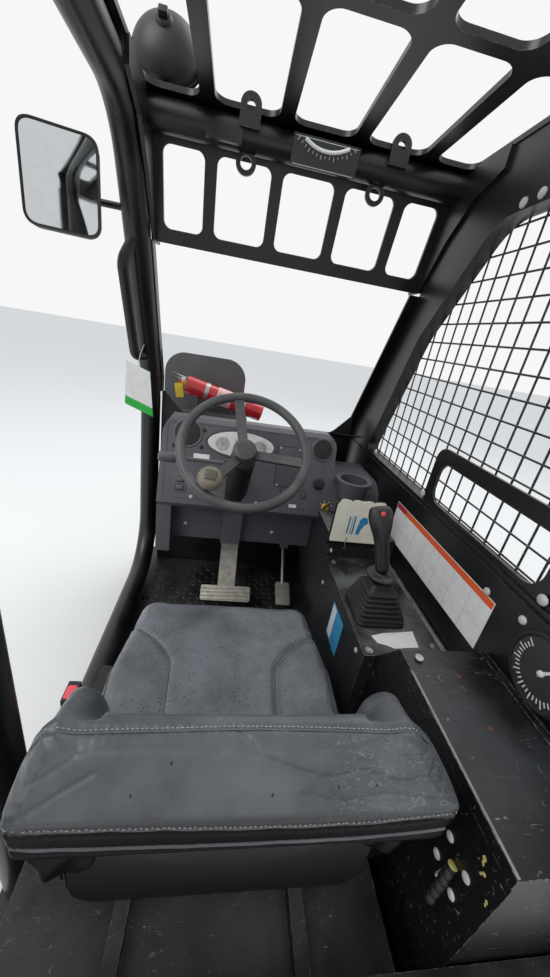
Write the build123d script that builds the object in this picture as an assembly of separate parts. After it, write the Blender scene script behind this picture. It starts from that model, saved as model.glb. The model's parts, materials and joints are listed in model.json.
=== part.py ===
from build123d import *
import os
from math import asin, atan2, cos, degrees, hypot, radians, sin, tan

# Open operator's cab of a compact telescopic handler, with its seat and its controls.
# Millimetres. X points to the operator's right, Y forward, Z up. The cab stands on z = 0, the
# underside of its base frame, and the origin is the middle of its four mounting bolts.

# Base frame and floor
BASE_LEFT, BASE_RIGHT = -508.0, 490.0      # outer faces of the side rails
BASE_REAR, BASE_FRONT = -640.0, 955.0
RAIL_WIDTH, RAIL_HEIGHT, RAIL_WALL = 60.0, 64.0, 5.0
FLOOR_THICK = 6.0
FLOOR_TOP = RAIL_HEIGHT + FLOOR_THICK
MOUNT_X, MOUNT_Y = 420.0, 560.0            # half spacing of the four mounting bolts
MOUNT_HOLE_R = 8.5
MOUNT_PAD, MOUNT_PAD_THICK = 110.0, 12.0
SOCKET_HOLE_R = 17.0                       # lets a socket reach each bolt
HATCH_LEFT, HATCH_WIDTH, HATCH_REAR, HATCH_LENGTH = -360.0, 103.0, 651.0, 142.0
HATCH_BAR_LEFT, HATCH_BAR_WIDTH, HATCH_BAR_LENGTH = -388.0, 185.0, 60.0
HATCH_THICK = 4.0

# Tube hoop on the open left side
HOOP_X, HOOP_TUBE_R = -470.0, 38.0
HOOP_FRONT_Y, HOOP_REAR_Y = 836.0, -300.0
HOOP_KNEE_Z = 962.0                        # height where the front post starts to lean back
HOOP_BROW_Y = 465.0                        # where the leaning post would meet the top run
HOOP_FOOT_R, HOOP_KNEE_R, HOOP_BROW_R, HOOP_BACK_R = 220.0, 600.0, 200.0, 150.0
HOOP_LIFT = 16.0                           # of the lower run above the floor
HOOP_FOOT_LENGTH, HOOP_FOOT_THICK = 80.0, 12.0
HOOP_FLANGE_WIDTH, HOOP_FLANGE_THICK = 44.0, 8.0
DOOR_SILL_Y = 0.0                          # where the lower run is joined

# Roof plate and its slots
ROOF_UNDER = 1682.0
ROOF_THICK = 12.0
ROOF_REAR, ROOF_FRONT = -600.0, 562.0
SLOT_COLUMNS, SLOT_PITCH, SLOT_BAR = 5, 195.0, 36.0
SLOT_MIDDLE_X = 13.0
SLOT_LEFT, SLOT_RIGHT = -428.0, 441.0      # outer edges of the outer columns
SLOT_ROW_FRONT = 490.0                     # front edge of the first row of slots
SLOT_ROW_LENGTH, SLOT_ROW_WEB, SLOT_ROWS = 366.0, 28.0, 3
SLOT_REAR_MARGIN = 38.0
SLOT_CORNER_R = 34.0

# Header tube, its rings and lugs, and the front guard
HEADER_R = 35.0
HEADER_Y = 525.0
RING_R, RING_HOLE_R, RING_THICK, RING_DROP = 27.0, 15.0, 8.0, 20.0
RING_PLACES = (-175.0, 190.0)
SQUARE_R = 1.0                             # the smallest radius of an outline's corner
LUG_WIDTH, LUG_THICK, LUG_RISE, LUG_HOLE_R = 52.0, 10.0, 34.0, 11.0
LUG_PLACES = (-175.0, 223.0)
TAB_X, TAB_WIDTH, TAB_HEIGHT, TAB_THICK = -235.0, 90.0, 34.0, 6.0
GUSSET_THICK, GUSSET_REAR, GUSSET_TIP, GUSSET_FRONT = 10.0, 195.0, 11.0, 50.0
GUSSET_THROAT_Y, GUSSET_THROAT_Z, GUSSET_SHIN_Y, GUSSET_SHIN_Z = 95.0, 45.0, 5.0, 127.0
GUSSET_TOE_FRONT, GUSSET_TOE_REAR = 165.0, 87.0
GUARD_THICK, GUARD_DROP, GUARD_TILT = 10.0, 255.0, 16.0
GUARD_SLOT_TOP, GUARD_SLOT_BOTTOM = 37.0, 219.0   # depths below the header's middle
GUARD_COLUMNS, GUARD_PITCH, GUARD_BAR, GUARD_SLOT_R = 5, 186.0, 34.0, 22.0
GUARD_MIDDLE_X, GUARD_SIDE_MARGIN = 9.0, 22.0
GUARD_CLEARANCE = 1.0
GAUGE_THICK = 3.0
GAUGE_X, GAUGE_WIDTH, GAUGE_HEIGHT, GAUGE_TILT = 28.0, 178.0, 62.0, -20.0
DIAL_Y, DIAL_Z, DIAL_R = -312.0, 722.0, 70.0

# Right side frame, wall, small window and wire screen
SIDE_IN, SIDE_OUT = 445.0, 490.0
SIDE_REAR = -600.0
SIDE_SILL = 800.0                          # top of the closed lower wall
PILLAR_FOOT_Y, PILLAR_KNEE_Z = 945.0, 830.0
PILLAR_BROW_Y = 440.0
OPENING_LIFT, OPENING_DROP, OPENING_REAR_POST = 12.0, 154.0, 150.0
OPENING_FOOT_Y, OPENING_SHOULDER_Y, OPENING_BROW_Y = 714.0, 533.0, 300.0
OPENING_SHOULDER_DROP = 427.0              # of the shoulder below the roof
OPENING_RADII = (30.0, 25.0, 150.0, 130.0, 60.0)
LOWER_CUT_MARGIN, LOWER_PILLAR = 60.0, 150.0
SIDE_SHEET = 6.0
PILLAR_FLANGE_IN, PILLAR_FLANGE_THICK = 410.0, 10.0
WINDOW_REAR, WINDOW_FRONT, WINDOW_HEIGHT = -220.0, 186.0, 130.0
WINDOW_FRAME, WINDOW_R, WINDOW_THICK, WINDOW_INSET = 36.0, 40.0, 8.0, 6.0
WINDOW_SILL = 14.0
MESH_PITCH, MESH_WIRE, MESH_MARGIN = 54.0, 5.0, 14.0

# Rear frame
REAR_POST, REAR_PANEL_THICK, REAR_PANEL_INSET = 60.0, 6.0, 26.0
REAR_MIDDLE_Z = 340.0

# Seat
SEAT_X = -95.0
SEAT_WIDTH = 500.0
CUSHION_NOSE, CUSHION_TAIL = 10.0, 5.0      # how much narrower its ends are than the back, each side
CUSHION_SWELL, CUSHION_CORNER_R = 25.0, 45.0
CUSHION_SWELL_REAR, CUSHION_SWELL_FRONT = -290.0, -90.0
CUSHION_REAR, CUSHION_FRONT, PAN_REAR = -344.0, 150.0, -368.0
CUSHION_TOP, CUSHION_HEIGHT, CUSHION_EDGE_R = 440.0, 90.0, 24.0
CUSHION_BOTTOM = CUSHION_TOP - CUSHION_HEIGHT
BACK_FRONT, BACK_DEPTH = -385.0, 62.0
BACK_BOTTOM, BACK_TOP = 470.0, 752.0
BACK_CROWN, BACK_BULGE, BACK_SEAM_Z, BACK_TUCK_Z = 22.0, 27.0, 668.0, 595.0
BACK_FOOT_INSET, BACK_SWELL, BACK_TOP_INSET, BACK_CORNER_R = 10.0, 22.0, 13.0, 24.0
BACK_PLATE = 18.0
WING_WIDTH, WING_DEPTH, WING_LIFT, WING_RUN, WING_EDGE = 62.0, 50.0, 90.0, 80.0, 17.0
HINGE_Y, HINGE_Z, HINGE_PIN_R, HINGE_EYE_R = -425.0, 454.0, 8.0, 11.0
FOLD_ANGLE = 60.0                          # how far the back folds forward
PAN_SIDE_THICK, PAN_INSET, PAN_MARGIN = 10.0, 35.0, 30.0
ARM_THICK, ARM_HALF, ARM_EDGE = 8.0, 20.0, 6.0
DECK_TOP, DECK_FRONT, DECK_WALL, DECK_MARGIN = 262.0, 60.0, 4.0, 60.0
SLIDE_HALF_SPACING, SLIDE_WIDTH, SLIDE_HEIGHT = 147.0, 24.0, 30.0
BUCKLE_LENGTH, BUCKLE_HEIGHT, BUCKLE_THICK = 46.0, 62.0, 24.0
BUCKLE_Y, BUCKLE_OUT, STALK_R, STALK_BEND = -150.0, 108.0, 7.0, 18.0

# Steering wheel, knob, column and lever
WHEEL_Y, WHEEL_Z = 260.0, 884.0
WHEEL_D, WHEEL_RIM = 380.0, 27.0
WHEEL_TILT = 43.0                          # of the rim's plane, from level
WHEEL_RIM_R = (WHEEL_D - WHEEL_RIM) / 2
HUB_R, HUB_DEPTH, HUB_SINK = 34.0, 46.0, 12.0
SPOKE_ANGLES, SPOKE_WIDTH, SPOKE_THICK, SPOKE_SINK = (100.0, 352.0, 232.0), 27.0, 11.0, 26.0
KNOB_ANGLE, KNOB_REACH = 232.0, 140.0      # its place on the lower left spoke
KNOB_R, KNOB_HEIGHT, KNOB_STEM_R, KNOB_SEAT = 33.0, 38.0, 15.0, 8.0
COLUMN_R, COLUMN_LENGTH = 38.0, 250.0
LEVER_R, LEVER_GRIP_R, LEVER_REACH, LEVER_GRIP_LENGTH = 7.0, 13.0, 225.0, 52.0

# Dash
DASH_LEFT, DASH_RIGHT, DASH_WALL = -365.0, 252.0, 5.0
DASH_LEFT_R, DASH_LOBE_R, SHELF_R = 60.0, 45.0, 20.0
GROOVE_X, GROOVE_Z, GROOVE_WIDTH, GROOVE_HEIGHT = -66.5, 747.0, 560.0, 262.0
GROOVE_R, GROOVE_CUT, GROOVE_DEPTH = 18.0, 2.5, 1.5
FACE_LOW_Y, FACE_LOW_Z = 436.0, 606.0      # lower and upper edge of the sloping face
FACE_TOP_Y, FACE_TOP_Z = 527.0, 876.0
DASH_TOP_Y, DASH_TOP_Z = 545.0, 888.0
DASH_FRONT_Y, DASH_FRONT_DROP = 690.0, 24.0
KNEE_Y, KNEE_BOTTOM = 500.0, 434.0
LIP_Y, LIP_Z = 446.0, 590.0
LEG_WIDTH, LEG_BOTTOM = 50.0, 400.0
COLUMN_COVER_HALF, COLUMN_COVER_Y = 36.0, 472.0
SHELF_TOP, SHELF_LIP_Y, SHELF_LIP_Z = 745.0, 468.0, 700.0
CUP_X, CUP_Y, CUP_TOP_R, CUP_FOOT_R, CUP_HEIGHT = 327.0, 470.0, 66.0, 52.0, 70.0
CUP_RISE, CUP_HOLE_R, CUP_DEPTH = 8.0, 50.0, 60.0
CLUSTER_HALF_WIDTH, CLUSTER_HALF_HEIGHT, CLUSTER_Z, CLUSTER_THICK = 121.0, 47.0, 820.0, 6.0

# Front wall with its scalloped top, cowl, and the panel that carries the extinguisher
WALL_Y, WALL_THICK = 862.0, 6.0
WALL_TOP, EAR_TOP, EAR_RUN, EAR_R = 813.0, 905.0, 95.0, 90.0
EAR_FLAT, EAR_TIP_R = 12.0, 5.0
COWL_THICK = 4.0
PANEL_LEFT, PANEL_RIGHT, PANEL_Y, PANEL_THICK = -455.0, -86.0, 1052.0, 15.0
PANEL_BOTTOM, PANEL_TOP, PANEL_R = 700.0, 1053.0, 90.0
RACK_SHELF_Z, RACK_THICK, RACK_RIGHT = 800.0, 10.0, -60.0
CRADLE_X, CRADLE_HALF_WIDTH, CRADLE_HALF_DEPTH = (-300.0, -80.0), 10.0, 30.0
BOTTLE_Y, BOTTLE_R = 960.0, 40.0
BOTTLE_LEFT, BOTTLE_LEFT_Z, BOTTLE_RIGHT, BOTTLE_RIGHT_Z = -345.0, 930.0, 0.0, 848.0
VALVE_R, VALVE_LENGTH = 14.0, 34.0

# Pedals
BRAKE_X, BRAKE_PIVOT_Y, BRAKE_PIVOT_Z = -84.0, 716.0, 437.0
BRAKE_PAD_Y, BRAKE_PAD_Z, BRAKE_PAD_TILT = 515.0, 157.0, 45.0
BRAKE_PAD_WIDTH, BRAKE_PAD_LENGTH, PAD_THICK, PAD_R = 208.0, 62.0, 10.0, 8.0
BRAKE_ARM_WIDTH, BRAKE_ARM_THICK = 72.0, 8.0
ACCEL_X, ACCEL_PIVOT_Y, ACCEL_PIVOT_Z = 171.0, 720.0, 290.0
ACCEL_PAD_Y, ACCEL_PAD_Z, ACCEL_PAD_TILT = 555.0, 138.0, 62.0
ACCEL_PAD_WIDTH, ACCEL_PAD_LENGTH, ACCEL_ARM_R = 63.0, 104.0, 7.0
PEDAL_PIN_R, PEDAL_BOSS_R, PIN_CLEARANCE = 7.0, 16.0, 0.05
BRAKE_BOSS_HALF, ACCEL_BOSS_HALF = 25.0, 20.0
CHEEK_THICK, CHEEK_GAP, CHEEK_HALF = 7.0, 0.5, 16.0
SWITCH_X, SWITCH_Y, SWITCH_Z, SWITCH_SIZE, SWITCH_STEM_R = -213.0, 800.0, 187.0, 58.0, 6.0

# Right console, joystick, side box and chart
CONSOLE_IN, CONSOLE_TOP, CONSOLE_WALL = 215.0, 548.0, 4.0
CONSOLE_REAR, CONSOLE_FRONT = -130.0, 262.0
RISER_TOP, RISER_FOOT_X, RISER_KNEE_Z = 628.0, 290.0, 400.0
STICK_X, STICK_Y = 282.0, 20.0
STICK_PIVOT_Z = CONSOLE_TOP + 14.0
TRUNNION_R, TRUNNION_HALF, TRUNNION_CHEEK, TRUNNION_GAP, TRUNNION_CAP = 5.0, 20.0, 6.0, 1.0, 3.0
STICK_R, STICK_BALL_R, DISC_Z, DISC_R, DISC_THICK = 9.0, 12.0, 668.0, 38.0, 8.0
GRIP_FOOT_R, GRIP_TOP_X, GRIP_TOP_Y, GRIP_TOP_Z = 20.0, 252.0, 76.0, 836.0
GRIP_HEAD_WIDTH, GRIP_HEAD_DEPTH, GRIP_HEAD_R, GRIP_TAPER = 62.0, 48.0, 18.0, 8.0
GRIP_NECK, GRIP_SHOULDER = 0.45, 0.7       # shares of the grip's length
BOOT_BASE, BOOT_STEP, BOOT_STEP_HEIGHT, BOOT_HOLE_R = 140.0, 100.0, 26.0, 34.0
COLLAR_WIDE, COLLAR_NARROW, COLLAR_HEIGHT, BOOT_CORNER_R = 84.0, 56.0, 62.0, 8.0
BOX_IN, BOX_TOP, BOX_REAR, BOX_FRONT = 242.0, 647.0, -537.0, -200.0
LID_FRONT, LID_LIP, LID_THICK, LID_DROP = -251.0, 4.0, 3.0, 18.0
LATCH_Y, LATCH_Z, LATCH_R, LATCH_ROOT = -474.0, 505.0, 11.0, 18.0
LATCH_DROP, LATCH_OUT = 65.0, 52.0
CHART_LEFT, CHART_RIGHT, CHART_TOP, CHART_THICK, CHART_GAP = 198.0, 366.0, 774.0, 12.0, 4.0
CLIP_PLACES, CLIP_R = (255.0, 345.0), 6.0

# Grab handle, mirror and work lamp
HANDLE_OUT, HANDLE_ROOT, HANDLE_R, HANDLE_STANDOFF, HANDLE_BEND = 28.0, 6.0, 16.0, 90.0, 40.0
HANDLE_TOP_DROP, HANDLE_LENGTH, HANDLE_END_RUN = 290.0, 340.0, 35.0
MIRROR_X, MIRROR_DROP, MIRROR_YAW = -628.0, 235.0, 14.0
MIRROR_BEHIND_POST, MIRROR_STANDOFF, MIRROR_ARM_R = 62.0, 45.0, 9.0
MIRROR_WIDTH, MIRROR_HEIGHT, MIRROR_R, MIRROR_THICK = 172.0, 212.0, 34.0, 22.0
MIRROR_BOSS_DROP, MIRROR_BOSS_R, MIRROR_BOSS_HEIGHT = 30.0, 15.0, 40.0
MIRROR_STRAP_WIDTH, MIRROR_STRAP_HEIGHT = 24.0, 30.0
LAMP_X, LAMP_Y, LAMP_RISE, LAMP_TILT = -401.0, 615.0, 117.0, -28.0
LAMP_R, LAMP_RIM_DEPTH, LAMP_DOME, LAMP_PIN_R = 85.0, 34.0, 52.0, 12.0
YOKE_GAP, YOKE_THICK, YOKE_HALF, YOKE_FOOT = 5.0, 6.0, 15.0, 20.0

GAP = 0.3                                  # running gap between faces of pieces that move


def block(x0, x1, y0, y1, z0, z1):
    """A box from its lowest to its highest corner."""
    size = Box(x1 - x0, y1 - y0, z1 - z0)
    return Pos((x0 + x1) / 2, (y0 + y1) / 2, (z0 + z1) / 2) * size


def rod(start, end, radius):
    """A round bar from one point to another."""
    a, b = Vector(*start), Vector(*end)
    plane = Plane(origin=a, z_dir=b - a)
    return plane * Cylinder(radius, (b - a).length, align=(Align.CENTER, Align.CENTER, Align.MIN))


def side_plate(points, x0, x1):
    """A flat plate in the YZ plane, from x0 to x1, from the corners of its outline."""
    face = Plane.YZ.offset(x0) * make_face(Polyline(*points, close=True))
    return extrude(face, amount=x1 - x0)


def front_plate(points, radii, y0, thick):
    """A plate in the XZ plane, from y0 forward, from its corners and the radius at each."""
    plane = Plane(origin=(0, y0, 0), x_dir=(1, 0, 0), z_dir=(0, -1, 0))
    return extrude(plane * make_face(FilletPolyline(*points, radius=radii, close=True)), amount=-thick)


def rounded(points, radii, plane):
    """A flat face in a plane, from an outline's corners and the radius at each."""
    return plane * make_face(FilletPolyline(*points, radius=radii, close=True))


def bent_tube(points, radii, radius):
    """A round tube along straight runs joined by tangent arcs."""
    path = FilletPolyline(*points, radius=radii)
    return sweep(Plane(origin=path @ 0, z_dir=path % 0) * Circle(radius), path=path)


def tilted(x, y, z, degrees_up):
    """A plane at a point, facing the operator and turned up by an angle."""
    a = radians(degrees_up)
    return Plane(origin=(x, y, z), x_dir=(1, 0, 0), z_dir=(0, -cos(a), sin(a)))


def joined(pieces):
    """All the pieces of a list as one part."""
    whole = pieces[0]
    for piece in pieces[1:]:
        whole += piece
    return whole


def save(name, part):
    """Write one piece as a STEP file."""
    part.label = name
    export_step(part, f"parts/{name}.step")


os.makedirs("parts", exist_ok=True)

hoop_in = HOOP_X + HOOP_TUBE_R             # innermost line of the tube hoop
wall_in = SIDE_IN - SIDE_SHEET             # inner face of the right wall
deck_left = hoop_in + DECK_WALL

# Base frame: side rails and cross rails of tube, with a drilled pad at each corner
pieces = []
for x in (BASE_LEFT, BASE_RIGHT - RAIL_WIDTH):
    rail = block(x, x + RAIL_WIDTH, BASE_REAR, BASE_FRONT, 0, RAIL_HEIGHT)
    pieces.append(rail - block(x + RAIL_WALL, x + RAIL_WIDTH - RAIL_WALL, BASE_REAR, BASE_FRONT,
                               RAIL_WALL, RAIL_HEIGHT - RAIL_WALL))
for y in (BASE_REAR, DECK_FRONT - RAIL_WIDTH, BASE_FRONT - RAIL_WIDTH):
    pieces.append(block(BASE_LEFT + RAIL_WIDTH, BASE_RIGHT - RAIL_WIDTH, y, y + RAIL_WIDTH, 0, RAIL_HEIGHT))
base = joined(pieces)
floor = block(BASE_LEFT, BASE_RIGHT, BASE_REAR, BASE_FRONT, RAIL_HEIGHT, FLOOR_TOP)
for x in (-MOUNT_X, MOUNT_X):
    for y in (-MOUNT_Y, MOUNT_Y):
        half = MOUNT_PAD / 2
        base += block(x - half, x + half, y - half, y + half, 0, MOUNT_PAD_THICK)
        base -= Pos(x, y, 0) * Cylinder(MOUNT_HOLE_R, 4 * RAIL_HEIGHT)
        floor -= Pos(x, y, FLOOR_TOP) * Cylinder(SOCKET_HOLE_R, 4 * FLOOR_THICK)
save("base_frame", base)
hatch_front = HATCH_REAR + HATCH_LENGTH
floor += block(HATCH_LEFT, HATCH_LEFT + HATCH_WIDTH, HATCH_REAR, hatch_front,
               FLOOR_TOP, FLOOR_TOP + HATCH_THICK)
floor += block(HATCH_BAR_LEFT, HATCH_BAR_LEFT + HATCH_BAR_WIDTH, hatch_front, hatch_front + HATCH_BAR_LENGTH,
               FLOOR_TOP, FLOOR_TOP + HATCH_THICK)
save("floor_plate", floor)

# Left side: one bent tube hoop round the open doorway, with a flange for the windscreen
hoop_bottom = FLOOR_TOP + HOOP_TUBE_R + HOOP_LIFT
hoop_top = ROOF_UNDER - HOOP_TUBE_R
hoop_lean = (HOOP_FRONT_Y - HOOP_BROW_Y) / (hoop_top - HOOP_KNEE_Z)
hoop_points = [(HOOP_X, HOOP_REAR_Y, FLOOR_TOP), (HOOP_X, HOOP_REAR_Y, hoop_top),
               (HOOP_X, HOOP_BROW_Y, hoop_top), (HOOP_X, HOOP_FRONT_Y, HOOP_KNEE_Z),
               (HOOP_X, HOOP_FRONT_Y, hoop_bottom), (HOOP_X, DOOR_SILL_Y, hoop_bottom)]


def post_y(z):
    """Where the middle of the hoop's leaning front post lies at a height."""
    return HOOP_FRONT_Y - hoop_lean * max(z - HOOP_KNEE_Z, 0)


hoop = bent_tube(hoop_points, [HOOP_BACK_R, HOOP_BROW_R, HOOP_KNEE_R, HOOP_FOOT_R], HOOP_TUBE_R)
hoop += rod((HOOP_X, DOOR_SILL_Y, hoop_bottom), (HOOP_X, HOOP_REAR_Y, hoop_bottom), HOOP_TUBE_R)
for y in (HOOP_REAR_Y + 3 * HOOP_TUBE_R, HOOP_FRONT_Y - HOOP_FOOT_R - 3 * HOOP_TUBE_R):
    hoop += block(HOOP_X - HOOP_FOOT_THICK / 2, HOOP_X + HOOP_FOOT_THICK / 2, y - HOOP_FOOT_LENGTH / 2,
                  y + HOOP_FOOT_LENGTH / 2, FLOOR_TOP, hoop_bottom)
flange_top = ROOF_UNDER - HEADER_R - GUARD_DROP - 2 * GUARD_CLEARANCE
flange_foot = EAR_TOP + GUARD_CLEARANCE
flange_points = [(post_y(flange_top), flange_top), (post_y(HOOP_KNEE_Z), HOOP_KNEE_Z),
                 (HOOP_FRONT_Y, flange_foot), (HOOP_FRONT_Y + HOOP_FLANGE_WIDTH, flange_foot),
                 (HOOP_FRONT_Y + HOOP_FLANGE_WIDTH, HOOP_KNEE_Z),
                 (post_y(flange_top) + HOOP_FLANGE_WIDTH, flange_top)]
hoop += side_plate(flange_points, hoop_in - HOOP_FLANGE_THICK / 2, hoop_in + HOOP_FLANGE_THICK / 2)
save("left_hoop", hoop)

# Gussets join the header to the hoop and to the right frame
header_z = ROOF_UNDER - HEADER_R
guard_foot = header_z - GUARD_DROP
gusset_points = [(HEADER_Y - GUSSET_REAR, ROOF_UNDER), (HEADER_Y + GUSSET_FRONT, ROOF_UNDER),
                 (HEADER_Y + GUSSET_TOE_FRONT, guard_foot), (HEADER_Y + GUSSET_TOE_REAR, guard_foot),
                 (HEADER_Y - GUSSET_SHIN_Y, header_z - GUSSET_SHIN_Z),
                 (HEADER_Y - GUSSET_THROAT_Y, header_z - GUSSET_THROAT_Z),
                 (HEADER_Y - GUSSET_REAR, header_z - GUSSET_TIP)]
gussets = side_plate(gusset_points, hoop_in, hoop_in + GUSSET_THICK)
gussets += side_plate(gusset_points, SIDE_IN - GUSSET_THICK, SIDE_IN)
save("header_gussets", gussets)

# Right side: a deep plate frame with a raked pillar, and a sheet wall below its sill
pillar_rake = (PILLAR_FOOT_Y - PILLAR_BROW_Y) / (ROOF_UNDER - PILLAR_KNEE_Z)


def pillar_front(z):
    """Where the right pillar's front edge lies at a height."""
    return PILLAR_FOOT_Y - pillar_rake * max(z - PILLAR_KNEE_Z, 0)


side = side_plate([(SIDE_REAR, FLOOR_TOP), (PILLAR_FOOT_Y, FLOOR_TOP), (PILLAR_FOOT_Y, PILLAR_KNEE_Z),
                   (PILLAR_BROW_Y, ROOF_UNDER), (SIDE_REAR, ROOF_UNDER)], SIDE_IN, SIDE_OUT)
opening_top = ROOF_UNDER - OPENING_DROP
opening_bottom = SIDE_SILL + OPENING_LIFT
opening_rear = SIDE_REAR + OPENING_REAR_POST
opening_points = [(opening_rear, opening_bottom), (OPENING_FOOT_Y, opening_bottom),
                  (OPENING_SHOULDER_Y, ROOF_UNDER - OPENING_SHOULDER_DROP), (OPENING_BROW_Y, opening_top),
                  (opening_rear, opening_top)]
side -= extrude(rounded(opening_points, OPENING_RADII, Plane.YZ.offset(SIDE_IN)), amount=SIDE_OUT - SIDE_IN)
side -= block(SIDE_IN, SIDE_OUT, opening_rear, PILLAR_FOOT_Y - LOWER_PILLAR,
              FLOOR_TOP + LOWER_CUT_MARGIN, SIDE_SILL - LOWER_CUT_MARGIN)
flange_z = guard_foot - PILLAR_FLANGE_THICK
flange_rear = PILLAR_FOOT_Y - PILLAR_FLANGE_THICK
side += side_plate([(flange_rear, FLOOR_TOP), (PILLAR_FOOT_Y, FLOOR_TOP), (PILLAR_FOOT_Y, PILLAR_KNEE_Z),
                    (pillar_front(flange_z), flange_z),
                    (pillar_front(flange_z) - PILLAR_FLANGE_THICK, flange_z),
                    (flange_rear, PILLAR_KNEE_Z)], PILLAR_FLANGE_IN, SIDE_IN)
save("right_frame", side)
save("right_wall", block(wall_in, SIDE_IN, SIDE_REAR, flange_rear - GUARD_CLEARANCE, FLOOR_TOP, SIDE_SILL))

window_low, window_high = opening_bottom + WINDOW_SILL, opening_bottom + WINDOW_HEIGHT
window_outer = [(WINDOW_REAR - WINDOW_FRAME, opening_bottom), (WINDOW_FRONT + WINDOW_FRAME, opening_bottom),
                (WINDOW_FRONT + WINDOW_FRAME, window_high + WINDOW_FRAME),
                (WINDOW_REAR - WINDOW_FRAME, window_high + WINDOW_FRAME)]
window_inner = [(WINDOW_REAR, window_low), (WINDOW_FRONT, window_low), (WINDOW_FRONT, window_high),
                (WINDOW_REAR, window_high)]
window_plane = Plane.YZ.offset(SIDE_IN + WINDOW_INSET)
window_radii = [SQUARE_R, SQUARE_R, WINDOW_R, WINDOW_R]
window = extrude(rounded(window_outer, window_radii, window_plane), amount=WINDOW_THICK)
window -= extrude(rounded(window_inner, WINDOW_R, window_plane), amount=WINDOW_THICK)
save("side_window_frame", window)

# Wire screen on the outside of the right frame
screen_y0, screen_y1 = opening_rear - MESH_MARGIN, OPENING_FOOT_Y + MESH_MARGIN
screen_z0, screen_z1 = opening_bottom - MESH_MARGIN, opening_top + MESH_MARGIN
screen_outline = [(screen_y0, screen_z0), (screen_y1, screen_z0),
                  (OPENING_SHOULDER_Y + MESH_MARGIN, ROOF_UNDER - OPENING_SHOULDER_DROP),
                  (OPENING_BROW_Y + MESH_MARGIN, screen_z1), (screen_y0, screen_z1)]
screen_plane = Plane.YZ.offset(SIDE_OUT)
wires = Sketch()
for i in range(int((screen_y1 - screen_y0) / MESH_PITCH) + 1):
    middle = Pos(screen_y1 - i * MESH_PITCH, (screen_z0 + screen_z1) / 2)
    wires += screen_plane * middle * Rectangle(MESH_WIRE, screen_z1 - screen_z0)
for i in range(int((screen_z1 - screen_z0) / MESH_PITCH) + 1):
    middle = Pos((screen_y0 + screen_y1) / 2, screen_z0 + i * MESH_PITCH)
    wires += screen_plane * middle * Rectangle(screen_y1 - screen_y0, MESH_WIRE)
screen = extrude(wires & rounded(screen_outline, OPENING_RADII, screen_plane), amount=MESH_WIRE)
save("side_screen", screen)

# Rear frame: a post, cross tubes and a low panel behind the seat
rear_front = SIDE_REAR + REAR_POST
cross_left = BASE_LEFT + REAR_POST
rear = block(BASE_LEFT, cross_left, SIDE_REAR, rear_front, FLOOR_TOP, ROOF_UNDER)
for z in (DECK_TOP - REAR_POST, REAR_MIDDLE_Z, ROOF_UNDER - REAR_POST):
    rear += block(cross_left, wall_in, SIDE_REAR, rear_front, z, z + REAR_POST)
rear_panel_y = SIDE_REAR + REAR_PANEL_INSET
rear += block(cross_left, wall_in, rear_panel_y, rear_panel_y + REAR_PANEL_THICK,
              DECK_TOP, REAR_MIDDLE_Z)
save("rear_frame", rear)

# Roof plate with its rows of rounded slots
roof = block(BASE_LEFT, SIDE_OUT, ROOF_REAR, ROOF_FRONT, ROOF_UNDER, ROOF_UNDER + ROOF_THICK)
row_front = SLOT_ROW_FRONT
for row in range(SLOT_ROWS):
    row_rear = row_front - SLOT_ROW_LENGTH if row < SLOT_ROWS - 1 else ROOF_REAR + SLOT_REAR_MARGIN
    for column in range(SLOT_COLUMNS):
        middle = SLOT_MIDDLE_X + (column - (SLOT_COLUMNS - 1) / 2) * SLOT_PITCH
        x0 = max(middle - (SLOT_PITCH - SLOT_BAR) / 2, SLOT_LEFT)
        x1 = min(middle + (SLOT_PITCH - SLOT_BAR) / 2, SLOT_RIGHT)
        slot = Pos((x0 + x1) / 2, (row_front + row_rear) / 2, ROOF_UNDER)
        slot_face = slot * RectangleRounded(x1 - x0, row_front - row_rear, SLOT_CORNER_R)
        roof -= extrude(slot_face, amount=ROOF_THICK)
    row_front = row_rear - SLOT_ROW_WEB
save("roof_guard", roof)

# Header tube with its rings, lifting lugs and a small drilled tab
header_left, header_right = hoop_in + GUSSET_THICK, SIDE_IN - GUSSET_THICK
header = rod((header_left, HEADER_Y, header_z), (header_right, HEADER_Y, header_z), HEADER_R)
for x in RING_PLACES:
    at = Pos(x, HEADER_Y, header_z - HEADER_R - RING_DROP) * Rot(90, 0, 0)
    header += at * Cylinder(RING_R, RING_THICK) - at * Cylinder(RING_HOLE_R, RING_THICK)
lug_y = SLOT_ROW_FRONT - LUG_THICK - SQUARE_R
lug_top_r = LUG_WIDTH / 2 - SQUARE_R
for x in LUG_PLACES:
    lug = front_plate([(x - LUG_WIDTH / 2, header_z), (x + LUG_WIDTH / 2, header_z),
                       (x + LUG_WIDTH / 2, ROOF_UNDER + LUG_RISE),
                       (x - LUG_WIDTH / 2, ROOF_UNDER + LUG_RISE)],
                      [SQUARE_R, SQUARE_R, lug_top_r, lug_top_r], lug_y, LUG_THICK)
    lug_hole = Pos(x, lug_y, ROOF_UNDER + LUG_RISE - LUG_WIDTH / 2) * Rot(90, 0, 0)
    lug -= lug_hole * Cylinder(LUG_HOLE_R, 4 * LUG_THICK)
    header += lug
    header += block(x - LUG_WIDTH / 4, x + LUG_WIDTH / 4, lug_y, HEADER_Y, header_z, header_z + LUG_THICK)
tab_y = HEADER_Y - HEADER_R
header += block(TAB_X - TAB_WIDTH / 2, TAB_X + TAB_WIDTH / 2, tab_y - TAB_THICK, tab_y + TAB_THICK,
                header_z - TAB_HEIGHT, header_z)
save("header_tube", header)

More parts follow.
